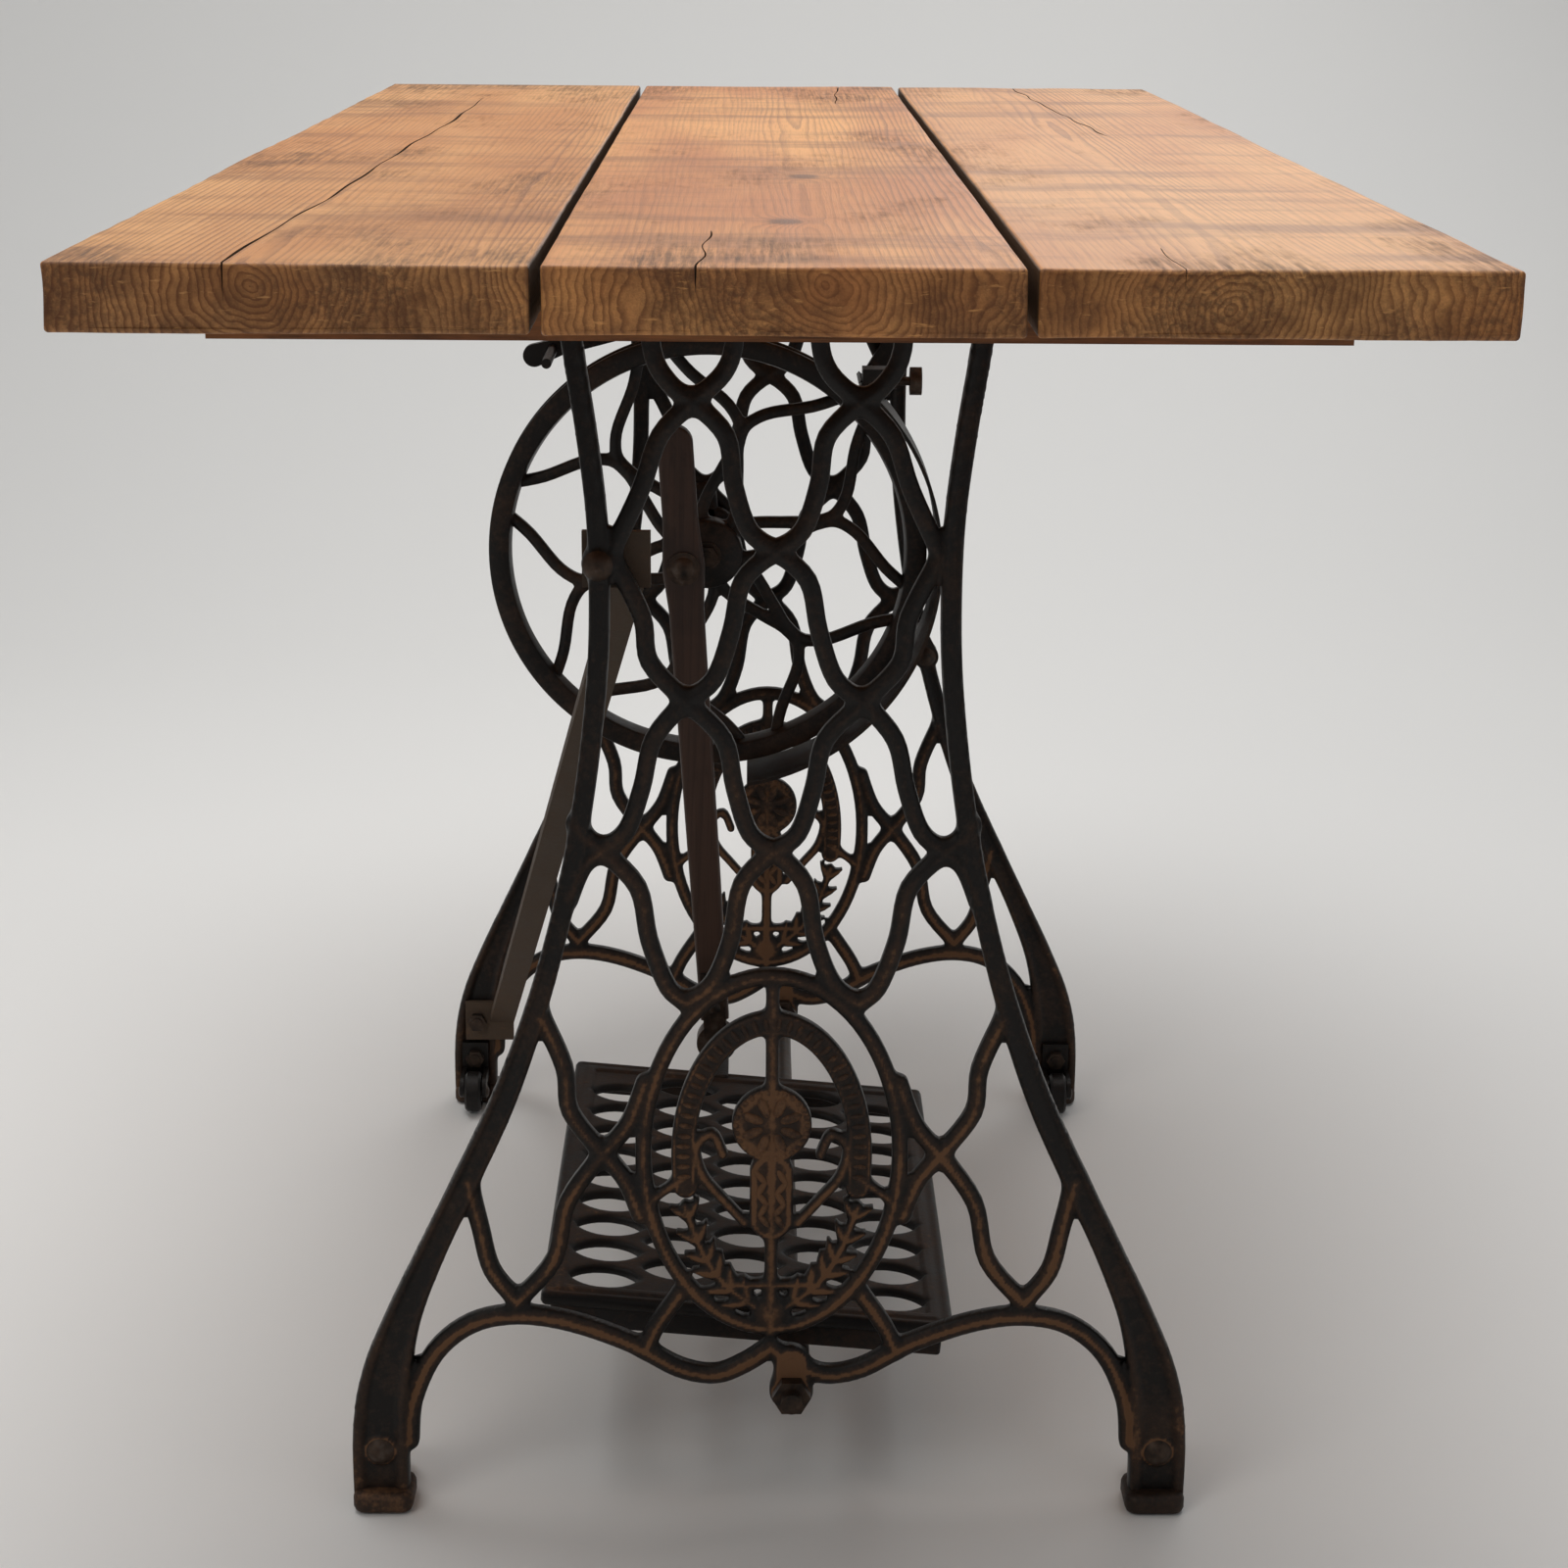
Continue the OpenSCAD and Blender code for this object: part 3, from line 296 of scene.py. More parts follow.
def catmull(points, steps=5):
    p = np.array(points, float)
    out = []
    for i in range(len(p) - 1):
        a, b, c, d = p[max(i - 1, 0)], p[i], p[i + 1], p[min(i + 2, len(p) - 1)]
        for k in range(steps):
            t = k / steps
            out.append(0.5 * (2 * b + (c - a) * t + (2 * a - 5 * b + 4 * c - d) * t * t
                              + (3 * b - a - 3 * c + d) * t ** 3))
    out.append(p[-1])
    return np.array(out)


def smoothStep(low, high, value):
    t = np.clip((value - low) / (high - low), 0, 1)
    return t * t * (3 - 2 * t)


# A smooth repeatable function from -1 to 1 along one or two axes
def wobble(seed, scales):
    rng = np.random.default_rng(seed)
    waves = [(rng.normal(size=2) * scale, rng.uniform(0, 2 * pi)) for scale in scales for _ in range(3)]

    def at(a, b=0.0):
        total = sum(np.sin(a * w[0] + b * w[1] + phase) for w, phase in waves)
        return total / (len(waves) ** 0.5 * 1.2)
    return at


# Rings of equal length joined into a skin; closed joins the last ring to the first
def loft(rings, closed=False):
    rings = [np.asarray(r, float) for r in rings]
    count, width = len(rings), len(rings[0])
    verts = np.concatenate(rings)
    faces = []
    for i in range(count if closed else count - 1):
        j = (i + 1) % count
        for k in range(width):
            m = (k + 1) % width
            faces.append((i * width + k, i * width + m, j * width + m, j * width + k))
    if not closed:
        faces.append(tuple(range(width)))
        faces.append(tuple(range((count - 1) * width, count * width)))
    return verts, faces


# A rectangle's outline with round corners; flat gives the steps along its long and short straights
def roundedRing(wide, high, radius, corner=5, flat=(1, 1)):
    pts = []
    for sx, sy, start in ((1, 1, 0), (-1, 1, 90), (-1, -1, 180), (1, -1, 270)):
        for k in range(corner + 1):
            a = radians(start + 90 * k / corner)
            pts.append((sx * (wide / 2 - radius) + radius * cos(a),
                        sy * (high / 2 - radius) + radius * sin(a)))
    ring = []
    for i, p in enumerate(pts):
        q = pts[(i + 1) % len(pts)]
        ring.append(p)
        if i % (corner + 1) == corner:
            steps = flat[(i // (corner + 1)) % 2]
            for k in range(1, steps):
                ring.append((p[0] + (q[0] - p[0]) * k / steps, p[1] + (q[1] - p[1]) * k / steps))
    return np.array(ring)


# A block with round corners in X and Y and a worn edge above and below
def slab(low, high, corner=0.003, edge=0.0012):
    low, high = np.array(low, float), np.array(high, float)
    mid, size = (low + high) / 2, high - low
    rings = []
    for inset, z in ((edge, low[2]), (edge * 0.3, low[2] + edge * 0.3), (0, low[2] + edge),
                     (0, high[2] - edge), (edge * 0.3, high[2] - edge * 0.3), (edge, high[2])):
        flat = roundedRing(size[0] - 2 * inset, size[1] - 2 * inset, max(corner - inset, 0.0004))
        rings.append(np.column_stack([flat + mid[:2], np.full(len(flat), z)]))
    return loft(rings)


# Revolves (radius, place) points about a line along Y; closed profiles make a tube
def turned(profile, x, z, steps=48, closed=False):
    profile = np.array(profile, float)
    if closed:
        rings = []
        for k in range(steps):
            a = 2 * pi * k / steps
            out = profile[:, 0]
            rings.append(np.column_stack([x + out * cos(a), profile[:, 1], z + out * sin(a)]))
        return loft(rings, closed=True)
    angles = np.linspace(0, 2 * pi, steps, endpoint=False)
    return loft([np.column_stack([x + r * np.cos(angles), np.full(steps, y), z + r * np.sin(angles)])
                 for r, y in profile])


def gather(parts):
    verts, faces, base = [], [], 0
    for v, f in parts:
        verts.append(np.asarray(v, float))
        faces.extend([tuple(i + base for i in face) for face in f])
        base += len(v)
    return np.concatenate(verts), faces


def newMesh(name, verts, faces, material, ridge=None):
    mesh = bpy.data.meshes.new(name)
    mesh.from_pydata([tuple(v) for v in verts], [], faces)
    wearAndShade = np.full(len(verts), 0.5, np.float32)   # how high each point stands, for worn rust on ridges and painted shade in hollows
    if ridge is not None:
        wearAndShade[:len(ridge)] = ridge
    mesh.attributes.new("ridge", "FLOAT", "POINT").data.foreach_set("value", wearAndShade)
    work = bmesh.new()
    work.from_mesh(mesh)
    bmesh.ops.remove_doubles(work, verts=work.verts, dist=1e-6)
    bmesh.ops.recalc_face_normals(work, faces=work.faces)
    work.to_mesh(mesh)
    work.free()
    mesh.materials.append(material)
    mesh.polygons.foreach_set("use_smooth", [True] * len(mesh.polygons))
    mesh.update()
    return mesh


slotOf = {part["node"]: part.get("material_slot") for part in frame["record"]["subparts"]}


def addPiece(name, mesh, body, stands=()):
    piece = bpy.data.objects.new(name, mesh)
    bpy.context.scene.collection.objects.link(piece)
    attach(piece, body)
    if stands:
        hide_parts(*stands)
    return piece


# Flat facets stay crisp where a mesh turns sharply
def crease(piece, angle=38):
    mesh = piece.data
    work = bmesh.new()
    work.from_mesh(mesh)
    for edge in work.edges:
        if len(edge.link_faces) == 2:
            edge.smooth = edge.calc_face_angle(0) < radians(angle)
    work.to_mesh(mesh)
    work.free()
    return piece


# Castings are strokes drawn on a plane, which become relief on both faces; sizes here are in mm
def stroke(line, half, kind="round", top=5.0, edge=2.4, mirrored=True):
    line = np.asarray(line, float)
    half = np.full(len(line), float(half)) if np.isscalar(half) else np.asarray(half, float)
    return {"line": line, "half": half, "kind": kind, "top": top, "edge": edge, "mirrored": mirrored}


def disc(x, z, radius, kind="flat", top=5.0, edge=2.4, mirrored=False):
    return stroke([[x, z], [x, z + 0.01]], radius, kind, top, edge, mirrored)


# How high a stroke stands, 0 to 1; t is the share of its half width and depth the distance, from its edge
def profileOf(kind, t, depth):
    roundTop = np.sqrt(np.clip(1 - (1 - t) ** 2, 0, 1))
    if kind == "flat":
        return smoothStep(0, 1, depth / 1.6)
    if kind == "channel":
        rail = smoothStep(0, 1.3, depth)
        well = smoothStep(0.30, 0.52, t)
        return rail * (1 - 0.62 * well)
    if kind == "vine":
        return 0.78 * roundTop + 0.22 * smoothStep(0.62, 0.80, t)
    if kind == "band":
        return smoothStep(0, 1.2, depth) * (1 - 0.35 * smoothStep(0.25, 0.4, t))
    return roundTop


strokeReach = 14.0   # how far from a stroke its blend still counts


def strokeField(points, strokes, blend=1.5, web=(2.4, 5.0)):
    total = np.zeros(len(points))
    height = np.full(len(points), web[0])
    ridge = np.zeros(len(points))
    for s in strokes:
        p = points.copy()
        if s["mirrored"]:
            p[:, 0] = np.abs(p[:, 0])
        low = s["line"].min(0) - s["half"].max() - strokeReach
        high = s["line"].max(0) + s["half"].max() + strokeReach
        pick = np.nonzero(np.all((p >= low) & (p <= high), axis=1))[0]
        if not len(pick):
            continue
        q = p[pick]
        best = np.full(len(pick), 1e9)
        bestHalf = np.ones(len(pick))
        for k in range(len(s["line"]) - 1):
            a, b = s["line"][k], s["line"][k + 1]
            ab = b - a
            t = np.clip(((q - a) @ ab) / max(ab @ ab, 1e-12), 0, 1)
            d = np.hypot(*(q - a - t[:, None] * ab).T)
            half = s["half"][k] + t * (s["half"][k + 1] - s["half"][k])
            better = d - half < best
            best = np.where(better, d - half, best)
            bestHalf = np.where(better, half, bestHalf)
        total[pick] += np.exp(-np.clip(best, -30, 30) / blend)
        t = np.clip(-best / bestHalf, 0, 1)
        rise = profileOf(s["kind"], t, np.maximum(-best, 0))
        inside = best < 0
        h = np.where(inside, s["edge"] + (s["top"] - s["edge"]) * rise, 0)
        height[pick] = np.maximum(height[pick], h)
        # crowns of strokes get high values, a lighter colour that is partly wear and partly painted highlight;
        # edges and hollows get low values, painted shade
        wearAndShade = 0.5 * rise if s["kind"] == "channel" else rise ** 2.2
        ridge[pick] = np.maximum(ridge[pick], np.where(inside, wearAndShade, 0))
    field = -blend * np.log(np.maximum(total, 1e-12))
    t = np.clip(-field / 4.5, 0, 1)
    swell = np.sqrt(np.clip(1 - (1 - t) ** 2, 0, 1))
    height = np.maximum(height, np.where(field < 0, web[0] + (web[1] - web[0]) * swell * 0.7, 0))
    return field, height, ridge


# Relief of a field over a grid: points inside stay, points just outside move to the outline
def castRelief(fieldAt, low, high, cell):
    nx = int(np.ceil((high[0] - low[0]) / cell)) + 1
    nz = int(np.ceil((high[1] - low[1]) / cell)) + 1
    gx, gz = np.meshgrid(np.linspace(low[0], high[0], nx), np.linspace(low[1], high[1], nz), indexing="ij")
    points = np.column_stack([gx.ravel(), gz.ravel()])
    field = fieldAt(points)[0]
    inside = (field < 0).reshape(nx, nz)
    keep = inside[:-1, :-1] | inside[1:, :-1] | inside[1:, 1:] | inside[:-1, 1:]
    used = np.zeros((nx, nz), bool)
    for di in (0, 1):
        for dj in (0, 1):
            used[di:nx - 1 + di, dj:nz - 1 + dj] |= keep
    moving = np.nonzero((used & ~inside).ravel())[0]
    p = points[moving].copy()
    step = 0.15
    for _ in range(4):
        f0 = fieldAt(p)[0]
        fx = (fieldAt(p + [step, 0])[0] - fieldAt(p - [step, 0])[0]) / (2 * step)
        fz = (fieldAt(p + [0, step])[0] - fieldAt(p - [0, step])[0]) / (2 * step)
        slope = np.maximum(fx * fx + fz * fz, 0.15)
        shift = np.column_stack([fx, fz]) * (f0 / slope)[:, None]
        size = np.maximum(np.hypot(*shift.T), 1e-9)
        p -= shift * np.minimum(1, cell / size)[:, None]
    points[moving] = p
    index = -np.ones(nx * nz, int)
    ids = np.nonzero(used.ravel())[0]
    index[ids] = np.arange(len(ids))
    xy = points[ids]
    _, height, ridge = fieldAt(xy)
    ci, cj = np.nonzero(keep)
    corner = [index[i * nz + j] for i, j in ((ci, cj), (ci + 1, cj), (ci + 1, cj + 1), (ci, cj + 1))]
    quads = np.column_stack(corner)
    count = len(ids)
    faces = [tuple(q) for q in quads.tolist()] + [tuple(q) for q in (quads[:, ::-1] + count).tolist()]
    edges = {}
    for a, b in ((0, 1), (1, 2), (2, 3), (3, 0)):
        for u, v in zip(quads[:, a].tolist(), quads[:, b].tolist()):
            if (v, u) in edges:
                del edges[(v, u)]
            else:
                edges[(u, v)] = True
    faces += [(v, u, u + count, v + count) for u, v in edges]
    return xy, height, np.concatenate([ridge, ridge]), faces


# Ornament by geometry nodes: one shape repeated along a line, turned to follow it
def repeatTree(name):
    tree = bpy.data.node_groups.new(name, "GeometryNodeTree")
    tree.is_modifier = True
    face = tree.interface
    face.new_socket("Line", in_out="INPUT", socket_type="NodeSocketGeometry")
    ids = {}
    kinds = {"Count": "NodeSocketInt", "Long": "NodeSocketFloat", "Wide": "NodeSocketFloat",
             "Tall": "NodeSocketFloat", "Splay": "NodeSocketFloat", "Finish": "NodeSocketMaterial"}
    for label, kind in kinds.items():
        ids[label] = face.new_socket(label, in_out="INPUT", socket_type=kind).identifier
    face.new_socket("Relief", in_out="OUTPUT", socket_type="NodeSocketGeometry")
    begin, end = addNode(tree, "NodeGroupInput"), addNode(tree, "NodeGroupOutput")
    link = tree.links.new
    curve = addNode(tree, "GeometryNodeMeshToCurve")
    link(begin.outputs["Line"], curve.inputs[0])
    even = addNode(tree, "GeometryNodeResampleCurve")
    link(curve.outputs[0], even.inputs["Curve"])
    link(begin.outputs["Count"], even.inputs["Count"])
    ball = addNode(tree, "GeometryNodeMeshIcoSphere")
    ball.inputs["Radius"].default_value = 1
    ball.inputs["Subdivisions"].default_value = 3
    size = addNode(tree, "ShaderNodeCombineXYZ")
    for axis, label in (("X", "Wide"), ("Y", "Tall"), ("Z", "Long")):
        link(begin.outputs[label], size.inputs[axis])
    aim = addNode(tree, "FunctionNodeAlignRotationToVector", axis="Z")
    link(addNode(tree, "GeometryNodeInputTangent").outputs[0], aim.inputs["Vector"])
    # every other one leans to the other side, about the relief's own facing line
    odd = mathNode(tree, "PINGPONG", addNode(tree, "GeometryNodeInputIndex").outputs[0], 1.0)
    lean = mathNode(tree, "MULTIPLY", mathNode(tree, "MULTIPLY_ADD", odd, 2.0, -1.0), begin.outputs["Splay"])
    turn = addNode(tree, "FunctionNodeAxisAngleToRotation")
    turn.inputs["Axis"].default_value = (0, 1, 0)
    link(lean, turn.inputs["Angle"])
    both = addNode(tree, "FunctionNodeRotateRotation", rotation_space="GLOBAL")
    link(aim.outputs[0], both.inputs[0])
    link(turn.outputs[0], both.inputs[1])
    place = addNode(tree, "GeometryNodeInstanceOnPoints")
    link(even.outputs[0], place.inputs["Points"])
    link(ball.outputs[0], place.inputs["Instance"])
    link(both.outputs[0], place.inputs["Rotation"])
    link(size.outputs[0], place.inputs["Scale"])
    real = addNode(tree, "GeometryNodeRealizeInstances")
    link(place.outputs[0], real.inputs[0])
    smooth = addNode(tree, "GeometryNodeSetShadeSmooth")
    link(real.outputs[0], smooth.inputs[0])
    paint = addNode(tree, "GeometryNodeSetMaterial")
    link(smooth.outputs[0], paint.inputs["Geometry"])
    link(begin.outputs["Finish"], paint.inputs["Material"])
    link(paint.outputs[0], end.inputs[0])
    return tree, ids


repeatGroup, repeatIds = repeatTree("repeatAlongLine")


# The shape is repeated count times along each line of points, given in metres
def repeated(name, lines, finish, count, size, splay=0.0):
    parts = []
    for number, line in enumerate(lines):
        mesh = bpy.data.meshes.new(f"{name}Line{number}")
        mesh.from_pydata([tuple(p) for p in line], [(i, i + 1) for i in range(len(line) - 1)], [])
        host = bpy.data.objects.new(f"{name}Host{number}", mesh)
        bpy.context.scene.collection.objects.link(host)
        modifier = host.modifiers.new("repeat", "NODES")
        modifier.node_group = repeatGroup
        for label, value in (("Count", count), ("Long", size[0]), ("Wide", size[1]), ("Tall", size[2]),
                             ("Splay", splay), ("Finish", finish)):
            modifier[repeatIds[label]] = value
        bpy.context.view_layer.update()
        baked = bpy.data.meshes.new_from_object(host.evaluated_get(bpy.context.evaluated_depsgraph_get()))
        co = np.zeros(len(baked.vertices) * 3)
        baked.vertices.foreach_get("co", co)
        parts.append((co.reshape(-1, 3), [tuple(f.vertices) for f in baked.polygons]))
        bpy.data.objects.remove(host)
    return gather(parts)


iron = makeIron("rustyIron", 0.20, ridges=True)
treadleIron = makeIron("treadleIron", 0.03, 0.5, ridges=True)
blackIron = makeIron("blackIron", 0.16)
steel = makeSteel("oldSteel")
plankWood = {
    "plank_left": makeWood("plankWoodLeft", (-0.218, 0.733), 0.31,
                           dict(plankLook, pale=(0.72, 0.36, 0.130)), 0.02),
    "plank_middle": makeWood("plankWoodMiddle", (0.014, 0.733), 0.87,
                             dict(plankLook, warm=(0.52, 0.190, 0.058)),
                             knots=((0.014, -0.202), (0.002, -0.431))),
    "plank_right": makeWood("plankWoodRight", (0.184, 0.722), 1.43,
                            dict(plankLook, pale=(0.70, 0.34, 0.112)), -0.02),
}
battenLook = dict(plankLook, pale=(0.36, 0.155, 0.055), warm=(0.24, 0.095, 0.032))
battenWood = makeWood("battenWood", (0.0, 0.64), 2.2, battenLook, 0.12, "X")
rodLook = {
    "pale": (0.060, 0.031, 0.020),
    "warm": (0.040, 0.020, 0.013),
    "late": (0.014, 0.007, 0.005),
    "stain": (0.012, 0.008, 0.006),
    "endDark": (0.010, 0.006, 0.004),
    "ringGap": 0.0030,
}
rodWood = makeWood("rodWood", (-0.10, 0.30), 3.1, rodLook, along="Z")
dustyIron = makeIron("dustyIron", 0.24, 0.6, veil=0.62)
finishOf = {"rusty_iron": iron, "black_iron": blackIron, "old_steel": steel,
            "batten_wood": battenWood, "rod_wood": rodWood, "plank_wood": plankWood["plank_middle"]}
for name, node in nodes.items():
    node.data.materials.clear()
    node.data.materials.append(dustyIron if name == "rear_brace" else finishOf[slotOf[name]])
print("materials ready")


# Three worn planks; sizes in metres
planks = {
    "edgeRound": 0.0018,     # rounding of the long edges
    "endRound": 0.0022,      # rounding of the sawn ends
    "wander": 0.0020,        # how far edges stray inwards
    "hollow": 0.0007,        # unevenness of the faces
    "stations": 230,         # rings of points along the length
    "crackDeep": 0.016,
    "crackWide": 0.0017,
}


def plankMesh(name, seed):
    low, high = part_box(name)
    mid, size = (low + high) / 2, high - low
    ring = roundedRing(size.x, size.z, planks["edgeRound"], corner=6, flat=(44, 8))
    half, soft = size.y / 2, planks["endRound"]
    near = [half, half - soft * 0.12, half - soft * 0.45, half - soft]
    inner = np.linspace(half - 0.005, -half + 0.005, planks["stations"])
    ys = np.concatenate([near, inner, [-y for y in near[::-1]]])
    insets = np.concatenate([[1.0, 0.5, 0.12, 0], np.zeros(planks["stations"]), [0, 0.12, 0.5, 1.0]]) * soft
    rings = []
    for y, inset in zip(ys, insets):
        scaled = ring * [(size.x - 2 * inset) / size.x, (size.z - 2 * inset) / size.z]
        rings.append(np.column_stack([scaled[:, 0], np.full(len(ring), y), scaled[:, 1]]))
    verts, faces = loft(rings)
    x, y, z = verts.T.copy()
    sideWave, endWave = wobble(seed, (9, 25, 70)), wobble(seed + 1, (30, 90, 260))
    flatWave = wobble(seed + 2, (8, 20))
    atSide = smoothStep(size.x / 2 - 0.012, size.x / 2, np.abs(x))
    outer = np.sign(x) * np.sign(mid.x) > 0 if abs(mid.x) > 0.01 else np.zeros(len(x), bool)
    most = planks["wander"]
    stray = most * (0.35 + 0.32 * sideWave(y + np.sign(x) * 3.7, z * 3)) * np.where(outer, 1.0, 0.3)
    verts[:, 0] -= np.sign(x) * atSide * np.clip(stray, 0, most)
    atEnd = smoothStep(half - 0.02, half, np.abs(y))
    ragged = most * (0.5 + 0.5 * endWave(x + np.sign(y) * 2.1, z * 1.5))
    verts[:, 1] -= np.sign(y) * atEnd * np.clip(ragged, 0, most)
    atFace = smoothStep(size.z / 2 - 0.004, size.z / 2, np.abs(z))
    dip = planks["hollow"] * (0.5 + 0.5 * flatWave(x * 2, y))
    verts[:, 2] -= np.sign(z) * np.clip(dip, 0, planks["hollow"]) * atFace
    return verts + np.array(mid), faces


# A wandering open split in the upper face, from start to end
def cutCrack(piece, start, end, top, seed, wide, deep):
    start, end = np.array(start, float), np.array(end, float)
    length = np.linalg.norm(end - start)
    along = (end - start) / length
    across = np.array([-along[1], along[0]])
    wave = wobble(seed, (6, 17, 60))
    rings = []
    for s in np.linspace(0, 1, 90):
        p = start + (end - start) * s + across * 0.0022 * wave(s * length)
        w = wide * (0.45 + 0.55 * abs(wave(s * length + 5))) * min(1, 18 * s + 0.25, 18 * (1 - s) + 0.05) / 2
        d = deep * min(1, 12 * (1 - s) + 0.1)
        left, right = p - across * w, p + across * w
        rings.append([(*left, top + 0.001), (*right, top + 0.001), (*p, top - d)])
    verts, faces = loft(rings)
    mesh = newMesh("crackCutter", verts, faces, plankWood["plank_middle"])
    cutter = bpy.data.objects.new("crackCutter", mesh)
    bpy.context.scene.collection.objects.link(cutter)
    cut = piece.modifiers.new("crack", "BOOLEAN")
    cut.operation, cut.solver, cut.object = "DIFFERENCE", "EXACT", cutter
    bpy.context.view_layer.update()
    mesh = bpy.data.meshes.new_from_object(piece.evaluated_get(bpy.context.evaluated_depsgraph_get()))
    piece.modifiers.clear()
    piece.data = mesh
    bpy.data.objects.remove(cutter)


# Where each split starts and ends across and along the top, and its share of the full size
cracks = {
    "plank_left": [((-0.226, -0.622), (-0.212, 0.45), 1.0)],
    "plank_middle": [((-0.035, -0.622), (-0.030, -0.47), 0.7), ((0.055, 0.622), (0.050, 0.40), 0.8)],
    "plank_right": [((0.192, 0.622), (0.212, 0.10), 1.0), ((0.160, -0.622), (0.163, -0.53), 0.6)],
}
for number, name in enumerate(("plank_left", "plank_middle", "plank_right")):
    verts, faces = plankMesh(name, 11 + 7 * number)
    mesh = newMesh(name + "Worn", verts, faces, plankWood[name])
    piece = bpy.data.objects.new(name.replace("_", "") + "Worn", mesh)
    bpy.context.scene.collection.objects.link(piece)
    for k, (start, end, share) in enumerate(cracks[name]):
        cutCrack(piece, start, end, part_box(name)[1].z, 50 + number * 5 + k,
                 planks["crackWide"] * share, planks["crackDeep"] * share)
    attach(piece, "stand")
    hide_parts(name)
    crease(piece, 50)
print("planks ready")


joints = {joint["name"]: joint for joint in frame["joints"]}
hub = Vector(joints["wheel_spin"]["pos_m"])
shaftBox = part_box("treadle_shaft")
shaftX, shaftZ = [1000 * (shaftBox[0][i] + shaftBox[1][i]) / 2 for i in (0, 2)]


# Lines of an end frame in mm, across from its middle and up from the floor; one half is drawn and mirrored.
# A leg's third number is its half width. The vines meet at the waist and the knots.
legLine = [[109, 711, 6], [105, 668, 5.5], [98, 620, 5.5], [93, 575, 5.5], [92, 530, 5.5], [94, 484, 5.5],
           [101, 425, 5.5], [111, 370, 5.5], [127, 308, 6], [147, 250, 7], [171, 197, 7.5], [190, 156, 8],
           [206, 118, 10], [217, 80, 14], [221, 45, 16], [221.5, 0, 16]]
waist, knotA, knotB, knotD = [47, 476], [43, 635], [86, 555], [92, 393]
knotE, knotF, knotG = [46.5, 306.5], [93.3, 217], [142, 127]
vines = [
    [[21.5, 705], [21.5, 669], [27, 650], knotA], [knotA, [55, 644], [64, 662], [66, 705]],
    [knotA, [26, 617], [22, 592], [14, 568], [0, 557]], [knotA, [60, 617], [70, 589], knotB],
    [[0, 557], [17, 541], [23, 514], [32, 488], waist], [knotB, [70, 522], [66, 497], waist],
    [waist, [64, 455], [70.5, 428], [79, 404], knotD], [waist, [27, 455], [21, 428], [13, 403], [0, 393]],
    [knotD, [102, 384], [110, 366]], [knotD, [102, 402], [106, 408]],
    [knotD, [73, 372], [67, 342], [57, 315], knotE], [[0, 393], [17, 374], [23, 342], [33, 317], knotE],
    [[126, 298], [114, 268], [111, 242], knotF], [knotF, [79, 235], [70, 259]],
    [knotF, [81, 201], [73, 180]], [knotF, [113, 188], [121, 153], knotG],
    [[168, 201], [162, 172], [156, 146], knotG], [[70, 98], [64, 112], [51, 132]],
]
archLine = [[205, 40], [202, 66], [189, 95], [168, 113], [142, 118.5], [112, 114], [78, 101],
            [52, 86], [31, 82], [14, 89], [0, 99]]
scrollLine = [[15, 176], [27, 190], [38, 204], [42, 221], [33, 229], [27, 217]]
sprigLine = [[9, 125], [26, 139], [39, 160], [48, 186]]

endFrame = {
    "cell": 1.5,             # spacing of the relief, mm
    "legTop": 8.0,           # half depth of the legs
    "vineTop": 5.0,          # half depth of the lattice
    "ovalZ": 216.5,
    "oval": (71, 105),       # half width and half height
    "crown": (49, 78),
    "holes": 36,             # height of the caster bolts
    "rosetteZ": 235,
}


def ovalArc(rx, rz, a0, a1, count):
    a = np.radians(np.linspace(a0, a1, count))
    return np.column_stack([rx * np.cos(a), endFrame["ovalZ"] + rz * np.sin(a)])


# Leaves in pairs up a stem, each a short stroke that swells and then narrows to its tip
def leafStrokes(stem, pairs, long, lean):
    items = []
    for k in range(pairs):
        i = int((k + 0.5) / pairs * (len(stem) - 3)) + 1
        along = (stem[i + 1] - stem[i - 1]) / np.linalg.norm(stem[i + 1] - stem[i - 1])
        size = long * (1 - 0.25 * k / pairs)
        for side in (-lean, lean):
            aim = np.array([along[0] * cos(side) - along[1] * sin(side),
                            along[0] * sin(side) + along[1] * cos(side)])
            line = stem[i] + np.outer([0, 0.3, 0.62, 1], aim * size)
            items.append(stroke(line, np.array([0.07, 0.20, 0.18, 0.06]) * size, "round", 4.6, 2.0))
    return items


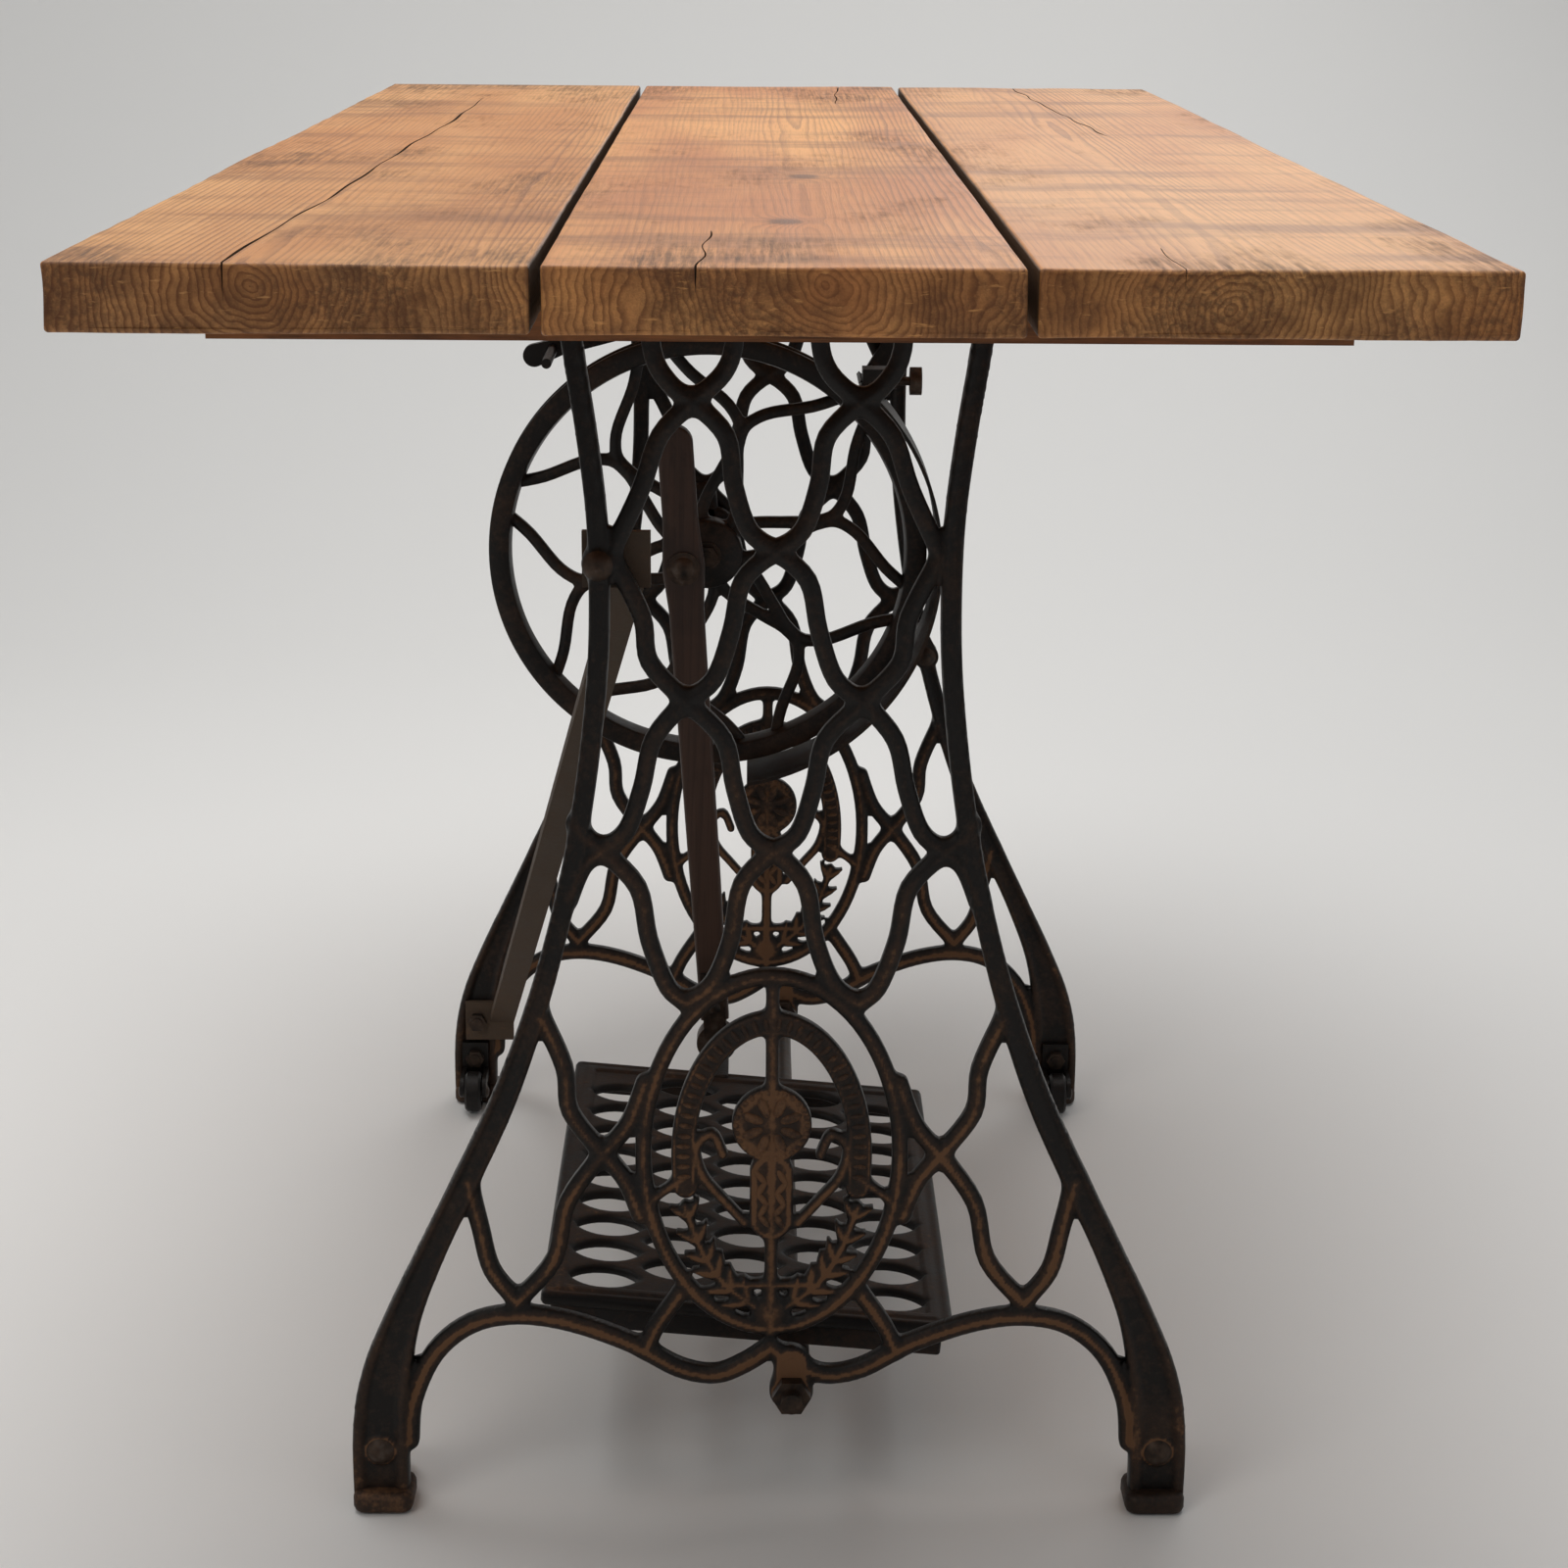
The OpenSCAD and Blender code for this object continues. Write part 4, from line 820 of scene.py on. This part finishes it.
def frameStrokes(far):
    leg = catmull(legLine)
    items = [stroke(leg[:, :2], leg[:, 2], "channel", endFrame["legTop"], 4.2)]
    items += [stroke(catmull(line), 4.8, "vine", endFrame["vineTop"]) for line in vines]
    items.append(stroke(catmull(archLine), 5.5, "vine", endFrame["vineTop"]))
    items.append(stroke(ovalArc(*endFrame["oval"], -90, 90, 40), 4.4, "vine", endFrame["vineTop"]))
    items.append(stroke(ovalArc(*endFrame["crown"], -14, 90, 30), 6.5, "band", 4.4, 2.0))
    items.append(stroke(catmull(scrollLine), 2.7, "round", 3.8, 1.8))
    items.append(stroke(catmull(sprigLine), 2.0, "round", 3.4, 1.8))
    items += leafStrokes(catmull(sprigLine, 12), 6, 15.0, 0.75)
    items.append(stroke([[49, 203], [58, 196], [66, 190]], 2.5, "round", 3.6, 1.8))
    items.append(stroke([[0, 110], [0, 314]], 3.6, "round", 3.4, 1.8))
    items.append(disc(0, endFrame["rosetteZ"], 22, "band", 3.6, 2.0))
    items.append(disc(0, endFrame["rosetteZ"], 8, "round", 4.8, 3.0))
    items.append(stroke([[0, 178], [0, 206]], 12, "band", 3.8, 2.0))
    items.append(disc(0, 121, 11, "round", 5.6, 2.0))
    items.append(stroke([[0, 138.2], [26, 138.2]], 2.4, "round", 3.6, 1.8))
    items.append(disc(221, endFrame["holes"], 10, "flat", 8.0, 4.2, True))
    items.append(disc(shaftX, shaftZ, 12, "flat", 5.0))
    items.append(stroke([[shaftX, shaftZ], [shaftX, shaftZ + 18]], 10, "flat", 5.0, mirrored=False))
    legX = leg[::-1, 0], leg[::-1, 1]
    for z in (66, 596) if far else (550,):
        items.append(disc(-np.interp(z, legX[1], legX[0]), z, 9, "flat", 8.0, 4.2))
    if far:
        for z in (590, 352):
            items.append(disc(np.interp(z, legX[1], legX[0]), z, 9, "flat", 8.0, 4.2))
    return items


def frameMesh(name, far):
    low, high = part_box(name)
    middle = (low.y + high.y) / 2
    items = frameStrokes(far)

    def fieldAt(points):
        field, height, ridge = strokeField(points, items)
        z = points[:, 1]
        return np.maximum(np.maximum(field, z - 706), 0.4 - z), height, ridge

    xy, height, ridge, faces = castRelief(fieldAt, (-238, 0), (238, 708), endFrame["cell"])
    xy, height = xy / 1000, height / 1000
    front = np.column_stack([xy[:, 0], middle - height, xy[:, 1]])
    back = np.column_stack([xy[:, 0], middle + height, xy[:, 1]])
    parts = [(np.concatenate([front, back]), faces)]
    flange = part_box("top_screws_far" if far else "top_screws_near")
    wide = flange[1].x + 0.007
    parts.append(slab((-wide, middle - 0.013, high.z - 0.008), (wide, middle + 0.013, high.z), 0.005))
    for s in (-1, 1):
        parts.append(slab((s * 0.220 - 0.017, middle - 0.016, 0),
                          (s * 0.220 + 0.017, middle + 0.016, 0.012), 0.007, 0.0035))   # foot
    if far:
        wx, wz = hub.x, hub.z
        y0, y1 = middle - 0.016, middle + 0.004
        boss = [(0.0055, y0), (0.018, y0), (0.020, y0 + 0.002),
                (0.020, y1 - 0.002), (0.018, y1), (0.0055, y1)]
        parts.append(turned(boss, wx, wz, 48, closed=True))   # carries the wheel's stud
        strut = []
        target = np.array([-0.047, 0.476])
        centre = np.array([wx, wz])
        along = (target - centre) / np.linalg.norm(target - centre)
        across = np.array([-along[1], along[0]])
        for s in (0.012, 0.020, 0.030, np.linalg.norm(target - centre) + 0.004):
            p = centre + along * s
            w = 0.0085
            ring = roundedRing(2 * w, y1 - y0, 0.003)
            strut.append([(p[0] + across[0] * u, (y0 + y1) / 2 + v, p[1] + across[1] * u) for u, v in ring])
        parts.append(loft(strut))
    verts, faces = gather(parts)
    return verts, faces, ridge, middle


# Reeding on the crown, buds up the column and petals round the rosette, on both faces
def ornamentFor(middle):
    parts = []
    for face in (-1, 1):
        for s in (-1, 1):
            def lift(line, y):
                return [(s * p[0] / 1000, middle + face * y, p[1] / 1000) for p in line]
            parts.append(repeated("reeds", [lift(ovalArc(*endFrame["crown"], -9, 86, 40), 0.0030)], iron, 19,
                                  (0.0017, 0.0042, 0.0026)))
            parts.append(repeated("buds", [lift([[4, 178], [6, 204]], 0.0034)], iron, 5,
                                  (0.0056, 0.0020, 0.0022), 0.6))
        y, z = middle + face * 0.0034, endFrame["rosetteZ"] / 1000
        circle = [(0.0195 * cos(a), y, z + 0.0195 * sin(a)) for a in np.linspace(0, 2 * pi, 41)]
        parts.append(repeated("ring", [circle], iron, 27, (0.0019, 0.0019, 0.0014)))
        for k in range(8):
            a = 2 * pi * (k + 0.5) / 8
            line = [(r * cos(a), y, z + r * sin(a)) for r in (0.0105, 0.0125)]
            parts.append(repeated("petals", [line], iron, 2, (0.0056, 0.0029, 0.0026)))
    return parts


for name, far in (("end_frame_near", False), ("end_frame_far", True)):
    verts, faces, ridge, middle = frameMesh(name, far)
    print(name, len(verts), "vertices in the casting")
    short = name.replace("_", "")
    addPiece(short + "Casting", newMesh(name + "Casting", verts, faces, iron, ridge), "stand", [name])
    verts, faces = gather(ornamentFor(middle))
    # the ornament takes a high ridge value, so it shows the lighter ridge colour, partly worn rust and partly
    # painted highlight
    mesh = newMesh(name + "Ornament", verts, faces, iron, np.full(len(verts), 0.85))
    addPiece(short + "Ornament", mesh, "stand")
print("end frames ready")


# Flywheel: sizes in metres, but the arms, which are a casting, in mm
wheel = {
    "plane": 0.225,          # where the rim's middle stands along the table
    "rimDeep": 0.014, "rimWide": 0.022, "groove": 0.005, "grooveWide": 0.010,
    "lobes": 6, "firstLobe": 45, "spokeWide": 8.0, "spokeTop": 4.0, "cell": 1.4,
}
# The hub's outline: radius, and place along the table
hubLine = [(0.00706, 0.210), (0.0225, 0.210), (0.024, 0.2115), (0.024, 0.2275), (0.0225, 0.229),
           (0.0172, 0.229), (0.016, 0.2302), (0.016, 0.2428), (0.0148, 0.244), (0.00706, 0.244)]


def wheelMesh():
    low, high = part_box("flywheel")
    outer = (high.x - low.x) / 2
    plane = wheel["plane"]
    inner, w, g = outer - wheel["rimDeep"], wheel["rimWide"] / 2, wheel["grooveWide"] / 2
    e = 0.0016
    rim = [(inner + e, -w), (outer - e, -w), (outer - e * 0.3, -w + e * 0.3), (outer, -w + e),
           (outer, -g - 0.0008), (outer - 0.0008, -g), (outer - wheel["groove"], -g / 3),
           (outer - wheel["groove"], g / 3), (outer - 0.0008, g), (outer, g + 0.0008), (outer, w - e),
           (outer - e * 0.3, w - e * 0.3), (outer - e, w), (inner + e, w), (inner + e * 0.3, w - e * 0.3),
           (inner, w - e), (inner - 0.0016, 0), (inner, -w + e), (inner + e * 0.3, -w + e * 0.3)]
    parts = []
    r = outer * 1000
    rr = r - wheel["rimDeep"] * 500
    items = [disc(0, 0, 24, "flat", wheel["spokeTop"], 2.0)]
    step = 360 / wheel["lobes"]
    for i in range(wheel["lobes"]):
        turn = radians(wheel["firstLobe"] + i * step)
        for s in (-1, 1):
            line = []
            # share of the radius, and how far round towards the next lobe
            for out, aside in ((rr / r, 4 / step), (0.82, 0.16), (0.68, 0.38),
                               (0.56, 0.5), (0.4, 0.42), (0.24, 0.2)):
                a = turn + radians(s * step * aside)
                line.append((out * r * cos(a), out * r * sin(a)))
            line.append((20 * cos(turn), 20 * sin(turn)))
            items.append(stroke(catmull(line), wheel["spokeWide"] / 2, "vine", wheel["spokeTop"], 2.0, False))

    def fieldAt(points):
        field, height, ridge = strokeField(points, items, 1.4, (2.0, wheel["spokeTop"]))
        away = np.hypot(*points.T)
        return np.maximum(np.maximum(field, away - rr), 7.6 - away), height, ridge

    xy, height, ridge, faces = castRelief(fieldAt, (-rr, -rr), (rr, rr), wheel["cell"])
    x, z = hub.x + xy[:, 0] / 1000, hub.z + xy[:, 1] / 1000
    parts.append((np.concatenate([np.column_stack([x, plane - height / 1000, z]),
                                  np.column_stack([x, plane + height / 1000, z])]), faces))
    parts.append(turned([(radius, plane + y) for radius, y in rim], hub.x, hub.z, 180, closed=True))
    parts.append(turned(hubLine, hub.x, hub.z, 96, closed=True))
    verts, faces = gather(parts)
    return verts, faces, ridge


verts, faces, ridge = wheelMesh()
mesh = newMesh("flywheelCasting", verts, faces, blackIron, ridge)
crease(addPiece("flywheelCasting", mesh, "wheel", ["flywheel"]), 50)
print("flywheel ready")


# Treadle: its middle in metres and its tilt in degrees, the plate in mm, the skirts in metres
treadle = {
    "place": (-0.013, -0.088, 0.100), "tilt": 5.0, "wide": 239.0, "long": 356.0, "thick": 9.0, "border": 14.0,
    "cols": 5, "rows": 9, "cell": 1.5, "skirtHigh": 0.016, "skirtThick": 0.007,
}


def treadleMesh():
    t = treadle
    cellX = (t["wide"] - 2 * t["border"]) / t["cols"]
    cellY = (t["long"] - 2 * t["border"]) / (t["rows"] + 0.5)
    length, high = cellX * 0.98, cellY * 0.76
    r = (length ** 2 + high ** 2) / (4 * high)

    def fieldAt(points):
        ax, ay = np.abs(points[:, 0]) - t["wide"] / 2 + 4, np.abs(points[:, 1]) - t["long"] / 2 + 4
        outline = np.hypot(np.maximum(ax, 0), np.maximum(ay, 0)) + np.minimum(np.maximum(ax, ay), 0) - 4
        hole = np.full(len(points), 50.0)
        for i in range(t["cols"]):
            for j in range(t["rows"]):
                cx = -t["wide"] / 2 + t["border"] + (i + 0.5) * cellX
                cy = -t["long"] / 2 + t["border"] + (j + 0.5 + (i % 2) / 2) * cellY
                q = points - [cx, cy]
                above, below = q[:, 1] + (r - high / 2), q[:, 1] - (r - high / 2)
                lens = np.maximum(np.hypot(q[:, 0], below), np.hypot(q[:, 0], above)) - r
                hole = np.minimum(hole, lens)
        field = np.maximum(outline, -hole)
        depth = np.maximum(-field, 0)
        share = np.clip(depth / 4.2, 0, 1)
        rise = np.sqrt(np.clip(1 - (1 - share) ** 2, 0, 1))
        rail = smoothStep(-9.0, -7.5, outline) * (1 - smoothStep(-5.0, -3.4, outline))
        top = np.where(outline > -t["border"], t["thick"] / 2, 3.1)
        height = 1.6 + (top - 1.6) * np.clip(rise - 0.30 * rail, 0, 1)
        return field, height, rise

    corner = np.array([t["wide"] / 2, t["long"] / 2])
    xy, height, ridge, faces = castRelief(fieldAt, -corner, corner, t["cell"])
    xy, height = xy / 1000, height / 1000
    local = [(np.concatenate([np.column_stack([xy, height]), np.column_stack([xy, -height])]), faces)]
    halfX, halfY = corner / 1000
    for s in (-1, 1):
        y, skirt = s * (halfY - 0.005), t["skirtThick"] / 2
        local.append(slab((-halfX + 0.006, y - skirt, -t["skirtHigh"]), (halfX - 0.006, y + skirt, 0), 0.003))
    lean = Matrix.Translation(t["place"]) @ Matrix.Rotation(radians(t["tilt"]), 4, "Y")
    parts = []
    for verts, faces in local:
        parts.append((np.array([lean @ Vector(v) for v in verts]), faces))
    x, z = shaftX / 1000, shaftZ / 1000
    for s in (-1, 1):
        y = t["place"][1] + s * (halfY - 0.016)
        eye = [(0.00606, y - 0.011), (0.0095, y - 0.011), (0.011, y - 0.0095), (0.011, y + 0.0095),
               (0.0095, y + 0.011), (0.00606, y + 0.011)]
        parts.append(turned(eye, x, z, 64, closed=True))   # runs on the shaft
        parts.append(slab((x - 0.0105, y - 0.0105, z + 0.0075), (x + 0.0105, y + 0.0105, z + 0.024), 0.002))
    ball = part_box("ball_stud")
    bx, bz = (ball[0].x + ball[1].x) / 2, joints["pitman_swing"]["pos_m"][2]
    near, far = t["place"][1] + halfY - 0.012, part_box("treadle_plate")[1].y
    parts.append(slab((bx - 0.009, near, bz - 0.006), (bx + 0.009, far, bz + 0.006), 0.002))   # arm
    verts, faces = gather(parts)
    return verts, faces, ridge


verts, faces, ridge = treadleMesh()
# raised parts take the lighter ridge colour, partly worn rust and partly painted highlight, and low parts painted
# shade
mesh = newMesh("treadleCasting", verts, faces, treadleIron, 0.72 * ridge ** 2.2)
addPiece("treadleCasting", mesh, "treadle", ["treadle_plate"])
print("treadle ready")


# Wooden rod: widths, thickness, how far it runs on past its bearing, and where it leaves the socket
rod = {"foot": 0.020, "head": 0.024, "swell": 0.005, "thick": 0.0136, "over": 0.097,
       "start": 0.018, "round": 0.0022}


def rodMesh():
    foot = np.array(joints["pitman_swing"]["pos_m"], float)
    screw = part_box("bearing_screw")
    pin = np.array(screw[0] + screw[1]) / 2
    reachPin = np.hypot(pin[0] - foot[0], pin[2] - foot[2])
    along = (pin - foot)[[0, 2]] / reachPin
    across = np.array([along[1], -along[0]])
    middle = foot[1]
    end = reachPin + rod["over"]
    head = end - rod["head"] / 2   # where the round top begins
    foot2, head2, swell2 = rod["foot"] / 2, rod["head"] / 2, rod["swell"] / 2
    crown = [head + head2 * sin(radians(a)) for a in (15, 30, 45, 58, 70, 80, 87)]
    rings = []
    for s in [*np.linspace(rod["start"], head, 70), *crown]:
        half = np.interp(s, [rod["start"], reachPin * 0.45, reachPin - 0.03, reachPin, reachPin + 0.03, head],
                         [foot2, foot2 + 0.001, head2, head2 + swell2, head2, head2])
        if s > head:
            half = max(np.sqrt(max(head2 ** 2 - (s - head) ** 2, 0)), 0.001)
        ring = roundedRing(2 * half, rod["thick"], min(rod["round"], half * 0.9), corner=4, flat=(4, 2))
        p = foot[[0, 2]] + along * s
        rings.append([(p[0] + across[0] * u, middle + v, p[1] + across[1] * u) for u, v in ring])
    return loft(rings)


verts, faces = rodMesh()
mesh = newMesh("pitmanRodWorn", verts, faces, rodWood)
crease(addPiece("pitmanRodWorn", mesh, "pitman", ["pitman_rod"]), 50)
print("rod ready")


studio = {"key": 18, "fill": 5, "top": 60, "back": 9, "world": 0.20, "floor": (0.80, 0.79, 0.77)}

floorMesh = bpy.data.meshes.new("floor")
sweep = [(1.6 + 1.2 * sin(radians(a)), 1.2 - 1.2 * cos(radians(a))) for a in range(6, 91, 6)]
profile = [(-4.5, 0.0), (1.6, 0.0), *sweep, (2.8, 5.0)]
floorVerts = [(x, y, z - 0.0006) for y, z in profile for x in (-6, 6)]
strips = [(2 * i, 2 * i + 1, 2 * i + 3, 2 * i + 2) for i in range(len(profile) - 1)]
floorMesh.from_pydata(floorVerts, [], strips)
floorMesh.polygons.foreach_set("use_smooth", [True] * len(floorMesh.polygons))
floor = bpy.data.objects.new("floor", floorMesh)
bpy.context.scene.collection.objects.link(floor)
paper, tree, shader, place = newMaterial("paper")
shader.inputs["Base Color"].default_value = (*studio["floor"], 1)
shader.inputs["Roughness"].default_value = 0.9
floorMesh.materials.append(paper)


def areaLight(name, place, aim, size, watts, colour=(1, 1, 1)):
    light = bpy.data.lights.new(name, "AREA")
    light.shape, light.size, light.energy, light.color = "SQUARE", size, watts, colour
    lamp = bpy.data.objects.new(name, light)
    bpy.context.scene.collection.objects.link(lamp)
    lamp.location = place
    lamp.rotation_euler = (Vector(aim) - Vector(place)).to_track_quat("-Z", "Y").to_euler()
    return lamp


areaLight("keyLight", (-1.9, -2.4, 2.5), (0, 0, 0.4), 1.6, studio["key"], (1.0, 0.97, 0.93))
areaLight("fillLight", (2.4, -2.2, 1.2), (0, 0, 0.4), 2.2, studio["fill"], (0.93, 0.96, 1.0))
areaLight("topLight", (-0.2, 0.3, 2.9), (0, 0, 0.7), 2.4, studio["top"])
areaLight("backLight", (0.8, 2.3, 1.9), (0, 0.2, 0.5), 1.4, studio["back"])
world = bpy.data.worlds.new("studio")
bpy.context.scene.world = world
world.use_nodes = True
world.node_tree.nodes["Background"].inputs["Color"].default_value = (0.95, 0.97, 1.0, 1)
world.node_tree.nodes["Background"].inputs["Strength"].default_value = studio["world"]
bpy.context.scene.view_settings.view_transform = "Standard"

camera = bpy.data.objects.new("camera", bpy.data.cameras.new("camera"))
bpy.context.scene.collection.objects.link(camera)
camera.data.lens = 67.6
camera.data.clip_start = 0.05
camera.matrix_world = (Matrix.Translation((-0.01284, -1.80255, 0.87964)) @ Matrix.Rotation(-0.01202, 4, "Z")
                       @ Matrix.Rotation(radians(90 - 16.65), 4, "X") @ Matrix.Rotation(0.00789, 4, "Z"))
bpy.context.scene.camera = camera

print("scene ready")
